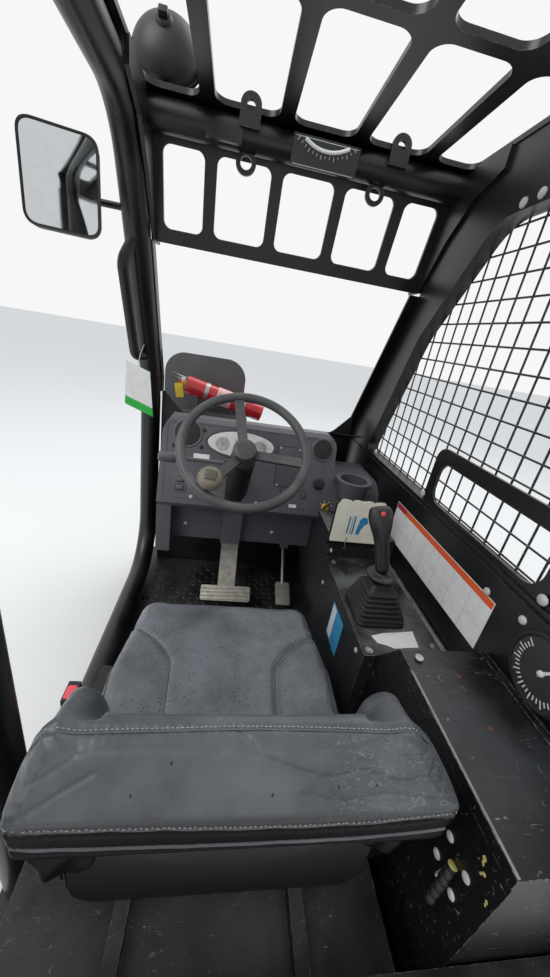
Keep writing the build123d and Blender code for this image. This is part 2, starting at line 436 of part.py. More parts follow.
# Front guard: a slotted plate that hangs from the header and leans with the pillars
lean = radians(GUARD_TILT)
guard_y = HEADER_Y + HEADER_R + GUARD_CLEARANCE
guard_plane = Plane(origin=(GUARD_MIDDLE_X, guard_y, header_z), x_dir=(1, 0, 0),
                    z_dir=(0, -cos(lean), -sin(lean)))
guard_left, guard_right = header_left - GUARD_MIDDLE_X, header_right - GUARD_MIDDLE_X
guard = guard_plane * Pos((guard_left + guard_right) / 2, -GUARD_DROP / cos(lean) / 2) * Rectangle(
    guard_right - guard_left, GUARD_DROP / cos(lean))
slot_middle = -(GUARD_SLOT_TOP + GUARD_SLOT_BOTTOM) / cos(lean) / 2
slot_height = (GUARD_SLOT_BOTTOM - GUARD_SLOT_TOP) / cos(lean)
for column in range(GUARD_COLUMNS):
    middle = (column - (GUARD_COLUMNS - 1) / 2) * GUARD_PITCH
    x0 = max(middle - (GUARD_PITCH - GUARD_BAR) / 2, guard_left + GUARD_SIDE_MARGIN)
    x1 = min(middle + (GUARD_PITCH - GUARD_BAR) / 2, guard_right - GUARD_SIDE_MARGIN)
    slot = guard_plane * Pos((x0 + x1) / 2, slot_middle)
    guard -= slot * RectangleRounded(x1 - x0, slot_height, GUARD_SLOT_R)
save("front_guard", extrude(guard, amount=-GUARD_THICK))

# Slope gauges: a printed plate on the header and a round dial on the right wall
gauge_turn = radians(GAUGE_TILT)
gauge_y, gauge_z = HEADER_Y - HEADER_R * cos(gauge_turn), header_z + HEADER_R * sin(gauge_turn)
gauge_plane = tilted(GAUGE_X, gauge_y, gauge_z, GAUGE_TILT)
gauge = extrude(gauge_plane * RectangleRounded(GAUGE_WIDTH, GAUGE_HEIGHT, GAUGE_THICK), amount=GAUGE_THICK)
dial = rod((wall_in - 2 * GAUGE_THICK, DIAL_Y, DIAL_Z), (wall_in, DIAL_Y, DIAL_Z), DIAL_R)
save("slope_gauges", gauge + dial)

# Dash: a hollow moulding with a sloping face, a knee panel, a leg and a shelf with a cup holder
face_tilt = degrees(atan2(FACE_TOP_Y - FACE_LOW_Y, FACE_TOP_Z - FACE_LOW_Z))


def face_plane(x, z):
    """A plane on the dash's sloping face, at a place across and a height."""
    share = (z - FACE_LOW_Z) / (FACE_TOP_Z - FACE_LOW_Z)
    return tilted(x, FACE_LOW_Y + share * (FACE_TOP_Y - FACE_LOW_Y), z, face_tilt)


def dash_form(wall):
    """What the dash's front outline encloses, less a wall's thickness all round."""
    left, lobe, right = DASH_LEFT + wall, DASH_RIGHT - wall, wall_in - GAP - wall
    shelf, top = SHELF_TOP - wall, DASH_TOP_Z - wall
    outline = [(left, 0), (right, 0), (right, shelf), (lobe, shelf), (lobe, top), (left, top)]
    radii = [SQUARE_R, SQUARE_R, SHELF_R - wall, SQUARE_R, DASH_LOBE_R - wall, DASH_LEFT_R - wall]
    return front_plate(outline, radii, 0, 2 * DASH_FRONT_Y)


def hollow(points, x0, x1, wall):
    """A moulding from its outline in the YZ plane, inside the dash's form, open towards the front."""
    face = Plane.YZ.offset(x0 + wall) * make_face(Polyline(*points, close=True))
    cavity = extrude(offset(face, amount=-wall, kind=Kind.INTERSECTION), amount=x1 - x0 - 2 * wall)
    cavity &= dash_form(wall)
    return (side_plate(points, x0, x1) & dash_form(0)) - cavity - Pos(0, 2 * wall, 0) * cavity


dash_end = DASH_TOP_Z - DASH_FRONT_DROP
dash_points = [(DASH_FRONT_Y, KNEE_BOTTOM), (KNEE_Y, KNEE_BOTTOM), (KNEE_Y, LIP_Z), (LIP_Y, LIP_Z),
               (FACE_LOW_Y, FACE_LOW_Z), (FACE_TOP_Y, FACE_TOP_Z), (DASH_TOP_Y, DASH_TOP_Z),
               (DASH_FRONT_Y, dash_end)]
lobe_low = RISER_TOP + GAP
lobe_y = FACE_LOW_Y + (lobe_low - FACE_LOW_Z) * (FACE_TOP_Y - FACE_LOW_Y) / (FACE_TOP_Z - FACE_LOW_Z)
lobe_points = [(DASH_FRONT_Y, lobe_low), (lobe_y, lobe_low), (FACE_TOP_Y, FACE_TOP_Z),
               (DASH_TOP_Y, DASH_TOP_Z),
               (DASH_FRONT_Y, dash_end)]
shelf_points = [(DASH_FRONT_Y, lobe_low), (lobe_y, lobe_low), (SHELF_LIP_Y, SHELF_LIP_Z),
                (SHELF_LIP_Y + CUP_TOP_R, SHELF_TOP), (DASH_FRONT_Y, SHELF_TOP)]
dash = hollow(dash_points, DASH_LEFT, CONSOLE_IN - GAP, DASH_WALL)
dash += hollow(lobe_points, CONSOLE_IN - GAP, DASH_RIGHT, DASH_WALL)
dash += hollow(shelf_points, DASH_RIGHT, wall_in - GAP, DASH_WALL)
dash += block(DASH_LEFT, DASH_LEFT + LEG_WIDTH, LIP_Y, KNEE_Y, LEG_BOTTOM, LIP_Z)
dash += block(SEAT_X - COLUMN_COVER_HALF, SEAT_X + COLUMN_COVER_HALF, COLUMN_COVER_Y, KNEE_Y,
              KNEE_BOTTOM, LIP_Z)
cup_z = SHELF_TOP + CUP_RISE
cup = Pos(CUP_X, CUP_Y, cup_z - CUP_HEIGHT / 2) * Cone(CUP_FOOT_R, CUP_TOP_R, CUP_HEIGHT)
dash += cup - block(wall_in - GAP, SIDE_OUT, CUP_Y - CUP_TOP_R, CUP_Y + CUP_TOP_R, 0, cup_z)
dash -= Pos(CUP_X, CUP_Y, cup_z - CUP_DEPTH / 2) * Cylinder(CUP_HOLE_R, CUP_DEPTH)
groove = RectangleRounded(GROOVE_WIDTH, GROOVE_HEIGHT, GROOVE_R)
groove_width, groove_height = GROOVE_WIDTH - 2 * GROOVE_CUT, GROOVE_HEIGHT - 2 * GROOVE_CUT
groove -= RectangleRounded(groove_width, groove_height, GROOVE_R - GROOVE_CUT)
dash -= extrude(face_plane(GROOVE_X, GROOVE_Z) * groove, amount=-GROOVE_DEPTH)
save("dash_housing", dash)

cluster = face_plane(SEAT_X, CLUSTER_Z) * Ellipse(CLUSTER_HALF_WIDTH, CLUSTER_HALF_HEIGHT)
save("instrument_cluster", extrude(cluster, amount=CLUSTER_THICK))

# Each small control on the dash: place across, height, radius and how far it stands out
CONTROLS = (
    (-279, 838, 50, 3),      # left speaker
    (201, 836, 38, 3),       # right speaker
    (-291, 686, 14, 7),      # upper push button
    (-291, 660, 14, 7),      # lower push button
    (-226, 765, 24, 12),     # round switch beside the instruments
    (201, 717, 20, 12),      # light knob
    (148, 676, 12, 8),       # right switch
    (73, 677, 12, 8),        # left switch
    (238, 650, 14, 14),      # key
)
buttons = []
for x, z, radius, depth in CONTROLS:
    buttons.append(extrude(face_plane(x, z) * Circle(radius), amount=depth))
save("dash_controls", joined(buttons))

# Front wall with its scalloped top, and the cowl between it and the dash
ear_left, ear_right = hoop_in + GUARD_CLEARANCE, PILLAR_FLANGE_IN - GUARD_CLEARANCE
wall_points = [(ear_left, FLOOR_TOP), (ear_right, FLOOR_TOP), (ear_right, EAR_TOP),
               (ear_right - EAR_FLAT, EAR_TOP), (ear_right - EAR_RUN, WALL_TOP),
               (ear_left + EAR_RUN, WALL_TOP), (ear_left + EAR_FLAT, EAR_TOP),
               (ear_left, EAR_TOP)]
wall_radii = [SQUARE_R, SQUARE_R, SQUARE_R, EAR_TIP_R, EAR_R, EAR_R, EAR_TIP_R, SQUARE_R]
front_wall = front_plate(wall_points, wall_radii, WALL_Y, WALL_THICK)
front_wall += side_plate([(DASH_FRONT_Y + GAP, dash_end), (WALL_Y, WALL_TOP),
                          (WALL_Y, WALL_TOP - COWL_THICK),
                          (DASH_FRONT_Y + GAP, dash_end - COWL_THICK)], DASH_LEFT, ear_right)
save("front_cowl", front_wall)

# Steering wheel, its spinner knob, the column and the direction lever
tilt = radians(WHEEL_TILT)
wheel_plane = Plane(origin=(SEAT_X, WHEEL_Y, WHEEL_Z), x_dir=(1, 0, 0), z_dir=(0, -sin(tilt), cos(tilt)))
wheel = wheel_plane * Torus(WHEEL_RIM_R, WHEEL_RIM / 2)
wheel += wheel_plane * Pos(0, 0, -HUB_SINK - HUB_DEPTH / 2) * Cylinder(HUB_R, HUB_DEPTH)
spoke_slope = degrees(atan2(SPOKE_SINK, WHEEL_RIM_R))
for angle in SPOKE_ANGLES:
    along = wheel_plane * Rot(0, 0, angle) * Pos(0, 0, -SPOKE_SINK) * Rot(0, -spoke_slope, 0)
    spoke = Box(hypot(WHEEL_RIM_R, SPOKE_SINK), SPOKE_WIDTH, SPOKE_THICK,
                align=(Align.MIN, Align.CENTER, Align.CENTER))
    wheel += along * spoke
knob_at = wheel_plane * Rot(0, 0, KNOB_ANGLE) * Pos(KNOB_REACH, 0, 0)
wheel += knob_at * Cylinder(KNOB_STEM_R, 2 * KNOB_SEAT)
save("steering_wheel", wheel)

knob_outline = [(0, KNOB_SEAT + GAP), (KNOB_STEM_R, KNOB_SEAT + GAP), (KNOB_R, KNOB_SEAT + KNOB_HEIGHT / 3),
                (KNOB_R, KNOB_SEAT + KNOB_HEIGHT / 2), (KNOB_STEM_R, KNOB_SEAT + KNOB_HEIGHT),
                (0, KNOB_SEAT + KNOB_HEIGHT)]
knob = revolve(make_face(Plane.XZ * Polyline(*knob_outline, close=True)), axis=Axis.Z)
save("spinner_knob", knob_at * knob)

column_top = -HUB_SINK - HUB_DEPTH - GAP
column = wheel_plane * Pos(0, 0, column_top - COLUMN_LENGTH / 2) * Cylinder(COLUMN_R, COLUMN_LENGTH)
behind_face = side_plate([(FACE_LOW_Y, FACE_LOW_Z), (FACE_TOP_Y, FACE_TOP_Z), (DASH_FRONT_Y, FACE_TOP_Z),
                          (DASH_FRONT_Y, 0), (FACE_LOW_Y, 0)], DASH_LEFT, DASH_RIGHT)
column -= behind_face
save("steering_column", column)
lever_root = wheel_plane.from_local_coords((0, 0, column_top - COLUMN_R))
lever_y, lever_z = lever_root.Y, lever_root.Z + LEVER_R
lever_root, lever_tip = SEAT_X - COLUMN_R + 2 * LEVER_R, SEAT_X - LEVER_REACH
lever = rod((lever_root, lever_y, lever_z), (lever_tip, lever_y, lever_z + LEVER_R), LEVER_R)
lever += rod((SEAT_X - LEVER_REACH + LEVER_GRIP_LENGTH, lever_y, lever_z + LEVER_R),
             (SEAT_X - LEVER_REACH, lever_y, lever_z + LEVER_R), LEVER_GRIP_R)
save("direction_lever", lever - column)

# Pedals hang on pins between cheeks that stand on the front wall
pin_hole = PEDAL_PIN_R + PIN_CLEARANCE


def across(x, y, z, radius, half):
    """A round bar that lies across the cab, round a middle point."""
    return Pos(x, y, z) * Rot(0, 90, 0) * Cylinder(radius, 2 * half)


arm_angle = atan2(BRAKE_PIVOT_Z - BRAKE_PAD_Z, BRAKE_PIVOT_Y - BRAKE_PAD_Y)
arm_y, arm_z = BRAKE_ARM_THICK / 2 * sin(arm_angle), BRAKE_ARM_THICK / 2 * cos(arm_angle)
brake = side_plate([(BRAKE_PIVOT_Y - arm_y, BRAKE_PIVOT_Z + arm_z),
                    (BRAKE_PIVOT_Y + arm_y, BRAKE_PIVOT_Z - arm_z),
                    (BRAKE_PAD_Y + arm_y, BRAKE_PAD_Z - arm_z), (BRAKE_PAD_Y - arm_y, BRAKE_PAD_Z + arm_z)],
                   BRAKE_X - BRAKE_ARM_WIDTH / 2, BRAKE_X + BRAKE_ARM_WIDTH / 2)
cheek_room = block(BRAKE_X - BRAKE_ARM_WIDTH, BRAKE_X + BRAKE_ARM_WIDTH, BRAKE_PIVOT_Y - 2 * CHEEK_HALF,
                   BRAKE_PIVOT_Y + 2 * CHEEK_HALF,
                   BRAKE_PIVOT_Z - 2 * CHEEK_HALF, BRAKE_PIVOT_Z + 2 * CHEEK_HALF)
boss_room = block(BRAKE_X - BRAKE_BOSS_HALF, BRAKE_X + BRAKE_BOSS_HALF, BRAKE_PIVOT_Y - 2 * CHEEK_HALF,
                  BRAKE_PIVOT_Y + 2 * CHEEK_HALF,
                  BRAKE_PIVOT_Z - 2 * CHEEK_HALF, BRAKE_PIVOT_Z + 2 * CHEEK_HALF)
brake -= cheek_room - boss_room
brake += across(BRAKE_X, BRAKE_PIVOT_Y, BRAKE_PIVOT_Z, PEDAL_BOSS_R, BRAKE_BOSS_HALF)
brake -= across(BRAKE_X, BRAKE_PIVOT_Y, BRAKE_PIVOT_Z, pin_hole, BRAKE_BOSS_HALF)
brake_face = tilted(BRAKE_X, BRAKE_PAD_Y, BRAKE_PAD_Z, BRAKE_PAD_TILT)
brake += extrude(brake_face * RectangleRounded(BRAKE_PAD_WIDTH, BRAKE_PAD_LENGTH, PAD_R), amount=PAD_THICK)
save("brake_pedal", brake)

accel_face = tilted(ACCEL_X, ACCEL_PAD_Y, ACCEL_PAD_Z, ACCEL_PAD_TILT)
arm_end = accel_face.from_local_coords((0, ACCEL_PAD_LENGTH / 2 - ACCEL_ARM_R, PAD_THICK / 2))
accel = rod((ACCEL_X, ACCEL_PIVOT_Y, ACCEL_PIVOT_Z), tuple(arm_end), ACCEL_ARM_R)
accel += across(ACCEL_X, ACCEL_PIVOT_Y, ACCEL_PIVOT_Z, PEDAL_BOSS_R, ACCEL_BOSS_HALF)
accel -= across(ACCEL_X, ACCEL_PIVOT_Y, ACCEL_PIVOT_Z, pin_hole, ACCEL_BOSS_HALF)
accel += extrude(accel_face * RectangleRounded(ACCEL_PAD_WIDTH, ACCEL_PAD_LENGTH, PAD_R), amount=PAD_THICK)
save("accelerator_pedal", accel)

brackets = []
for x, y, z, half in ((BRAKE_X, BRAKE_PIVOT_Y, BRAKE_PIVOT_Z, BRAKE_BOSS_HALF),
                      (ACCEL_X, ACCEL_PIVOT_Y, ACCEL_PIVOT_Z, ACCEL_BOSS_HALF)):
    bracket = across(x, y, z, PEDAL_PIN_R, half + CHEEK_GAP + CHEEK_THICK)
    for x0 in (x - half - CHEEK_GAP - CHEEK_THICK, x + half + CHEEK_GAP):
        bracket += block(x0, x0 + CHEEK_THICK, y - CHEEK_HALF, WALL_Y, z - CHEEK_HALF, z + CHEEK_HALF)
    brackets.append(bracket)
foot_switch = block(SWITCH_X - SWITCH_SIZE / 2, SWITCH_X + SWITCH_SIZE / 2, SWITCH_Y, SWITCH_Y + PAD_THICK,
                    SWITCH_Z - SWITCH_SIZE / 2, SWITCH_Z + SWITCH_SIZE / 2)
switch_back = (SWITCH_X, SWITCH_Y + PAD_THICK, SWITCH_Z)
brackets.append(foot_switch + rod(switch_back, (SWITCH_X, WALL_Y, SWITCH_Z), SWITCH_STEM_R))
save("pedal_brackets", joined(brackets))

# Right console: a hollow box, taller in front, with a yoke for the joystick's cross pin
console = block(CONSOLE_IN, wall_in - GAP, CONSOLE_REAR, CONSOLE_FRONT, FLOOR_TOP, CONSOLE_TOP)
console -= block(CONSOLE_IN + CONSOLE_WALL, wall_in - CONSOLE_WALL,
                 CONSOLE_REAR + CONSOLE_WALL, CONSOLE_FRONT,
                 FLOOR_TOP, CONSOLE_TOP - CONSOLE_WALL)
riser_plane = Plane(origin=(0, CONSOLE_FRONT, 0), x_dir=(1, 0, 0), z_dir=(0, -1, 0))
riser_points = [(RISER_FOOT_X, FLOOR_TOP), (wall_in - GAP, FLOOR_TOP), (wall_in - GAP, RISER_TOP),
                (CONSOLE_IN, RISER_TOP), (CONSOLE_IN, RISER_KNEE_Z)]
riser_face = riser_plane * make_face(Polyline(*riser_points, close=True))
riser_length = DASH_FRONT_Y - CONSOLE_FRONT
riser = extrude(riser_face, amount=-riser_length)
cavity_face = offset(riser_face, amount=-CONSOLE_WALL, kind=Kind.INTERSECTION)
cavity = extrude(cavity_face, amount=-riser_length)
console += riser - Pos(0, CONSOLE_WALL, 0) * cavity
yoke_top = STICK_PIVOT_Z + TRUNNION_R + TRUNNION_CAP
cheek_in = STICK_BALL_R + TRUNNION_GAP
for x0 in (STICK_X - cheek_in - TRUNNION_CHEEK, STICK_X + cheek_in):
    console += block(x0, x0 + TRUNNION_CHEEK, STICK_Y - 2 * TRUNNION_R, STICK_Y + 2 * TRUNNION_R,
                     CONSOLE_TOP - CONSOLE_WALL, yoke_top)
console -= across(STICK_X, STICK_Y, STICK_PIVOT_Z, TRUNNION_R + PIN_CLEARANCE, 2 * TRUNNION_HALF)
save("console", console)

# Joystick on its cross pin, with the lower and the upper end of its boot
stick = rod((STICK_X, STICK_Y, STICK_PIVOT_Z), (STICK_X, STICK_Y, DISC_Z), STICK_R)
stick += Pos(STICK_X, STICK_Y, STICK_PIVOT_Z) * Sphere(STICK_BALL_R)
stick += across(STICK_X, STICK_Y, STICK_PIVOT_Z, TRUNNION_R, TRUNNION_HALF)
stick += rod((STICK_X, STICK_Y, DISC_Z), (STICK_X, STICK_Y, DISC_Z + DISC_THICK), DISC_R)
grip_foot = Vector(STICK_X, STICK_Y, DISC_Z + DISC_THICK)
grip_top = Vector(GRIP_TOP_X, GRIP_TOP_Y, GRIP_TOP_Z)
grip_way = grip_top - grip_foot


def grip_plane(share):
    """A plane across the grip, at a share of its length."""
    return Plane(origin=grip_foot + grip_way * share, x_dir=(1, 0, 0), z_dir=grip_way)


grip_neck = RectangleRounded(2 * GRIP_FOOT_R, 2 * GRIP_FOOT_R, GRIP_FOOT_R - SQUARE_R)
grip_head = RectangleRounded(GRIP_HEAD_WIDTH, GRIP_HEAD_DEPTH, GRIP_HEAD_R)
grip_crown = RectangleRounded(GRIP_HEAD_WIDTH - GRIP_TAPER, GRIP_HEAD_DEPTH - GRIP_TAPER, GRIP_HEAD_R)
stick += loft([Plane(origin=grip_foot) * Circle(GRIP_FOOT_R), grip_plane(GRIP_NECK) * Circle(GRIP_FOOT_R)])
stick += loft([grip_plane(GRIP_NECK) * grip_neck, grip_plane(GRIP_SHOULDER) * grip_head], ruled=True)
stick += loft([grip_plane(GRIP_SHOULDER) * grip_head, grip_plane(1.0) * grip_crown], ruled=True)
save("joystick", stick)
boot_foot = Pos(STICK_X, STICK_Y, CONSOLE_TOP + GAP)
boot = loft([boot_foot * RectangleRounded(BOOT_BASE, BOOT_BASE, BOOT_CORNER_R),
             boot_foot * Pos(0, 0, BOOT_STEP_HEIGHT)
             * RectangleRounded(BOOT_STEP, BOOT_STEP, BOOT_CORNER_R)])
save("boot_base", boot - boot_foot * Cylinder(BOOT_HOLE_R, 3 * BOOT_STEP_HEIGHT))
collar_foot = Pos(STICK_X, STICK_Y, DISC_Z - COLLAR_HEIGHT)
collar = loft([collar_foot * RectangleRounded(COLLAR_WIDE, COLLAR_WIDE, BOOT_CORNER_R),
               collar_foot * Pos(0, 0, COLLAR_HEIGHT - GAP)
               * RectangleRounded(COLLAR_NARROW, COLLAR_NARROW, BOOT_CORNER_R)])
save("boot_collar", collar - collar_foot * Cylinder(STICK_R + PIN_CLEARANCE, 3 * COLLAR_HEIGHT))

# Chart holder and its book, on the step of the console
holder_y = CONSOLE_FRONT - CHART_GAP
clip_z = RISER_TOP - 2 * CLIP_R
clips = [rod((x, holder_y, clip_z), (x, CONSOLE_FRONT, clip_z), CLIP_R) for x in CLIP_PLACES]
holder = block(CHART_LEFT + CLIP_R, CHART_RIGHT + CLIP_R, holder_y - CHART_GAP, holder_y,
               clip_z - 2 * CLIP_R,
               CHART_TOP - 4 * CLIP_R)
save("chart_holder", joined([holder] + clips))
save("chart_book", block(CHART_LEFT, CHART_RIGHT, holder_y - CHART_GAP - CHART_THICK, holder_y - CHART_GAP,
                         RISER_TOP - CLIP_R, CHART_TOP))

# Side box beside the seat, with its sloping front, and its latch lever
box_points = [(BOX_REAR, FLOOR_TOP), (CONSOLE_REAR - GAP, FLOOR_TOP), (CONSOLE_REAR - GAP, CONSOLE_TOP),
              (BOX_FRONT, BOX_TOP), (BOX_REAR, BOX_TOP)]
box_face = Plane.YZ.offset(BOX_IN + CONSOLE_WALL) * make_face(Polyline(*box_points, close=True))
box_cavity = extrude(offset(box_face, amount=-CONSOLE_WALL, kind=Kind.INTERSECTION),
                     amount=wall_in - GAP - BOX_IN - 2 * CONSOLE_WALL)
side_box = side_plate(box_points, BOX_IN, wall_in - GAP) - box_cavity - Pos(0, 0, -CONSOLE_WALL) * box_cavity
lid_left = BOX_IN - LID_LIP                # the lid's edge is folded down over the box's side
side_box += block(lid_left, wall_in - GAP, BOX_REAR, LID_FRONT, BOX_TOP, BOX_TOP + LID_THICK)
side_box += block(lid_left, BOX_IN, BOX_REAR, LID_FRONT, BOX_TOP - LID_DROP, BOX_TOP + LID_THICK)
save("side_box", side_box)
latch_elbow = (BOX_IN - LATCH_ROOT, LATCH_Y, LATCH_Z)
latch = rod((BOX_IN, LATCH_Y, LATCH_Z), latch_elbow, LATCH_R) + Pos(*latch_elbow) * Sphere(LATCH_R)
latch += rod(latch_elbow, (BOX_IN - LATCH_OUT, LATCH_Y - LATCH_ROOT, LATCH_Z - LATCH_DROP), LATCH_R)
save("latch_lever", latch)

# Deck under the seat with the slide rails on it
deck_rear = SIDE_REAR + DECK_MARGIN
deck = block(deck_left, CONSOLE_IN - GAP, deck_rear, DECK_FRONT, FLOOR_TOP, DECK_TOP)
deck -= block(deck_left + DECK_WALL, CONSOLE_IN - DECK_WALL, deck_rear + DECK_WALL, DECK_FRONT - DECK_WALL,
              FLOOR_TOP, DECK_TOP - DECK_WALL)
rail_top = DECK_TOP + SLIDE_HEIGHT
for x in (SEAT_X - SLIDE_HALF_SPACING, SEAT_X + SLIDE_HALF_SPACING):
    deck += block(x - SLIDE_WIDTH / 2, x + SLIDE_WIDTH / 2, deck_rear, DECK_FRONT, DECK_TOP, rail_top)
save("seat_deck", deck)

# Seat: pan, cushion and buckle slide together, and the back folds on the pan's side plates
pan_half = SEAT_WIDTH / 2 - PAN_INSET
pan = block(SEAT_X - pan_half, SEAT_X + pan_half, PAN_REAR, DECK_FRONT - PAN_MARGIN, rail_top + GAP,
            CUSHION_BOTTOM)
fold = radians(FOLD_ANGLE)                 # each ear stays below the cushion when the back is down
ear_y, ear_z = HINGE_Y + HINGE_EYE_R * sin(fold), HINGE_Z + HINGE_EYE_R * cos(fold)
ear_foot = ear_y + (ear_z - CUSHION_BOTTOM) / tan(fold)
ear_points = [(ear_y, ear_z), (HINGE_Y - HINGE_EYE_R, HINGE_Z), (HINGE_Y - HINGE_EYE_R, HINGE_Z - ARM_HALF),
              (PAN_REAR, rail_top + ARM_HALF), (PAN_REAR + 6 * ARM_HALF, rail_top + ARM_HALF),
              (PAN_REAR + 6 * ARM_HALF, CUSHION_BOTTOM), (ear_foot, CUSHION_BOTTOM)]
for x0 in (SEAT_X - pan_half - PAN_SIDE_THICK, SEAT_X + pan_half):
    pan += side_plate(ear_points, x0, x0 + PAN_SIDE_THICK)
    pan += across(x0 + PAN_SIDE_THICK / 2, HINGE_Y, HINGE_Z, HINGE_EYE_R, PAN_SIDE_THICK / 2)
for side_x, sign in ((SEAT_X - pan_half, 1), (SEAT_X + pan_half, -1)):
    pin_end = side_x + sign * (ARM_THICK + 2 * GAP)
    pan += rod((side_x - sign, HINGE_Y, HINGE_Z), (pin_end, HINGE_Y, HINGE_Z), HINGE_PIN_R)
save("seat_pan", pan)
back_half = SEAT_WIDTH / 2
nose_half, tail_half = back_half - CUSHION_NOSE, back_half - CUSHION_TAIL
swell_half = back_half + CUSHION_SWELL
half_plan = [(nose_half, CUSHION_FRONT), (swell_half, CUSHION_SWELL_FRONT), (swell_half, CUSHION_SWELL_REAR),
             (tail_half, CUSHION_REAR)]
plan_points = [(SEAT_X + x, y) for x, y in half_plan] + [(SEAT_X - x, y) for x, y in reversed(half_plan)]
cushion = extrude(rounded(plan_points, CUSHION_CORNER_R, Plane.XY.offset(CUSHION_BOTTOM + GAP)),
                  amount=CUSHION_HEIGHT - GAP)
cushion = fillet(cushion.edges().group_by(Axis.Z)[-1], CUSHION_EDGE_R)
save("seat_cushion", cushion)
buckle_x, buckle_z = SEAT_X - pan_half - BUCKLE_OUT, CUSHION_TOP - BUCKLE_HEIGHT / 2
stalk_z = CUSHION_BOTTOM - 2 * STALK_R
stalk_points = [(SEAT_X - pan_half, PAN_REAR + 5 * ARM_HALF, stalk_z),
                (buckle_x, BUCKLE_Y - BUCKLE_LENGTH, stalk_z), (buckle_x, BUCKLE_Y, buckle_z)]
buckle = bent_tube(stalk_points, [STALK_BEND], STALK_R)
buckle += block(buckle_x - BUCKLE_THICK / 2, buckle_x + BUCKLE_THICK / 2, BUCKLE_Y - BUCKLE_LENGTH / 2,
                BUCKLE_Y + BUCKLE_LENGTH / 2, buckle_z - BUCKLE_HEIGHT / 2, buckle_z + BUCKLE_HEIGHT / 2)
save("belt_buckle", buckle - pan)

plate_front = BACK_FRONT - BACK_DEPTH
plate_rear = plate_front - BACK_PLATE
arm_front = HINGE_Y + HINGE_PIN_R + ARM_EDGE
back_frame = block(SEAT_X - pan_half + GAP, SEAT_X + pan_half - GAP, plate_rear, plate_front, BACK_BOTTOM,
                   BACK_TUCK_Z - 2 * GAP)
for x0 in (SEAT_X - pan_half + GAP, SEAT_X + pan_half - GAP - ARM_THICK):
    back_frame += side_plate([(plate_rear, BACK_BOTTOM + ARM_HALF), (plate_rear, HINGE_Z - ARM_HALF),
                              (arm_front, HINGE_Z - ARM_HALF), (arm_front, BACK_BOTTOM - GAP),
                              (plate_front, BACK_BOTTOM - GAP), (plate_front, BACK_BOTTOM + ARM_HALF)],
                             x0, x0 + ARM_THICK)
back_frame -= across(SEAT_X, HINGE_Y, HINGE_Z, HINGE_PIN_R + PIN_CLEARANCE, pan_half)
save("back_frame", back_frame)
bulge_y = plate_front - BACK_BULGE
profile = [(BACK_FRONT, BACK_BOTTOM), (BACK_FRONT, BACK_TOP), (BACK_FRONT - BACK_CROWN, BACK_TOP),
           (bulge_y, BACK_SEAM_Z), (bulge_y, BACK_TUCK_Z), (plate_front + GAP, BACK_TUCK_Z),
           (plate_front + GAP, BACK_BOTTOM)]
half_back = [(back_half - BACK_FOOT_INSET, BACK_BOTTOM), (back_half + BACK_SWELL, BACK_TUCK_Z),
             (back_half + BACK_SWELL, BACK_SEAM_Z), (back_half - BACK_TOP_INSET, BACK_TOP)]
back_points = [(SEAT_X + x, z) for x, z in half_back] + [(SEAT_X - x, z) for x, z in reversed(half_back)]
back = side_plate(profile, SEAT_X - swell_half, SEAT_X + swell_half)
wing_front, wing_foot = BACK_FRONT + WING_DEPTH, BACK_BOTTOM + WING_LIFT
wing_points = [(BACK_FRONT, wing_foot), (wing_front, wing_foot + WING_RUN),
               (wing_front, BACK_TOP - WING_EDGE), (wing_front - WING_EDGE, BACK_TOP),
               (BACK_FRONT, BACK_TOP)]
for x0 in (SEAT_X - back_half, SEAT_X + back_half - WING_WIDTH):
    back += side_plate(wing_points, x0, x0 + WING_WIDTH)
back_depth = BACK_FRONT + WING_DEPTH - bulge_y
save("back_cushion", back & front_plate(back_points, BACK_CORNER_R, bulge_y, back_depth))

# Grab handle on the hoop's leaning post
lean_length = hypot(1, hoop_lean)


def handle_point(z, standoff, out):
    """A point behind the leaning front post, at a height on it, a distance off it and one outwards."""
    return (HOOP_X - out, post_y(z) - standoff / lean_length, z - standoff * hoop_lean / lean_length)


handle_top = ROOF_UNDER - HANDLE_TOP_DROP
handle_foot = handle_top - HANDLE_LENGTH
handle_points = [handle_point(handle_top, HOOP_TUBE_R / 2, HANDLE_ROOT),
                 handle_point(handle_top - HANDLE_END_RUN, HANDLE_STANDOFF, HANDLE_OUT),
                 handle_point(handle_foot + HANDLE_END_RUN, HANDLE_STANDOFF, HANDLE_OUT),
                 handle_point(handle_foot, HOOP_TUBE_R / 2, HANDLE_ROOT)]
handle = bent_tube(handle_points, [HANDLE_BEND, HANDLE_BEND], HANDLE_R)
save("grab_handle", handle - hoop)

# Mirror on a bent rod from the hoop's post
mirror_z = ROOF_UNDER - MIRROR_DROP
rod_y = post_y(mirror_z)
mirror_y = rod_y - MIRROR_BEHIND_POST
mirror_at = Pos(MIRROR_X, mirror_y, mirror_z) * Rot(0, 0, MIRROR_YAW)
boss_at = mirror_at * Pos(0, 0, -MIRROR_BOSS_DROP)
plate_at = mirror_at * Pos(0, -MIRROR_STANDOFF, 0) * Rot(90, 0, 0)
mirror = extrude(plate_at * RectangleRounded(MIRROR_WIDTH, MIRROR_HEIGHT, MIRROR_R), amount=MIRROR_THICK)
strap = Box(MIRROR_STRAP_WIDTH, MIRROR_STANDOFF, MIRROR_STRAP_HEIGHT)
mirror += boss_at * Pos(0, -MIRROR_STANDOFF / 2, 0) * strap
mirror += boss_at * Cylinder(MIRROR_BOSS_R, MIRROR_BOSS_HEIGHT)
mirror -= boss_at * Cylinder(MIRROR_ARM_R + PIN_CLEARANCE, 2 * MIRROR_BOSS_HEIGHT)
save("mirror_head", mirror)
arm_foot = (MIRROR_X, mirror_y, mirror_z - 2 * MIRROR_BOSS_DROP)
arm = rod(arm_foot, (MIRROR_X, mirror_y, mirror_z + MIRROR_ARM_R), MIRROR_ARM_R)
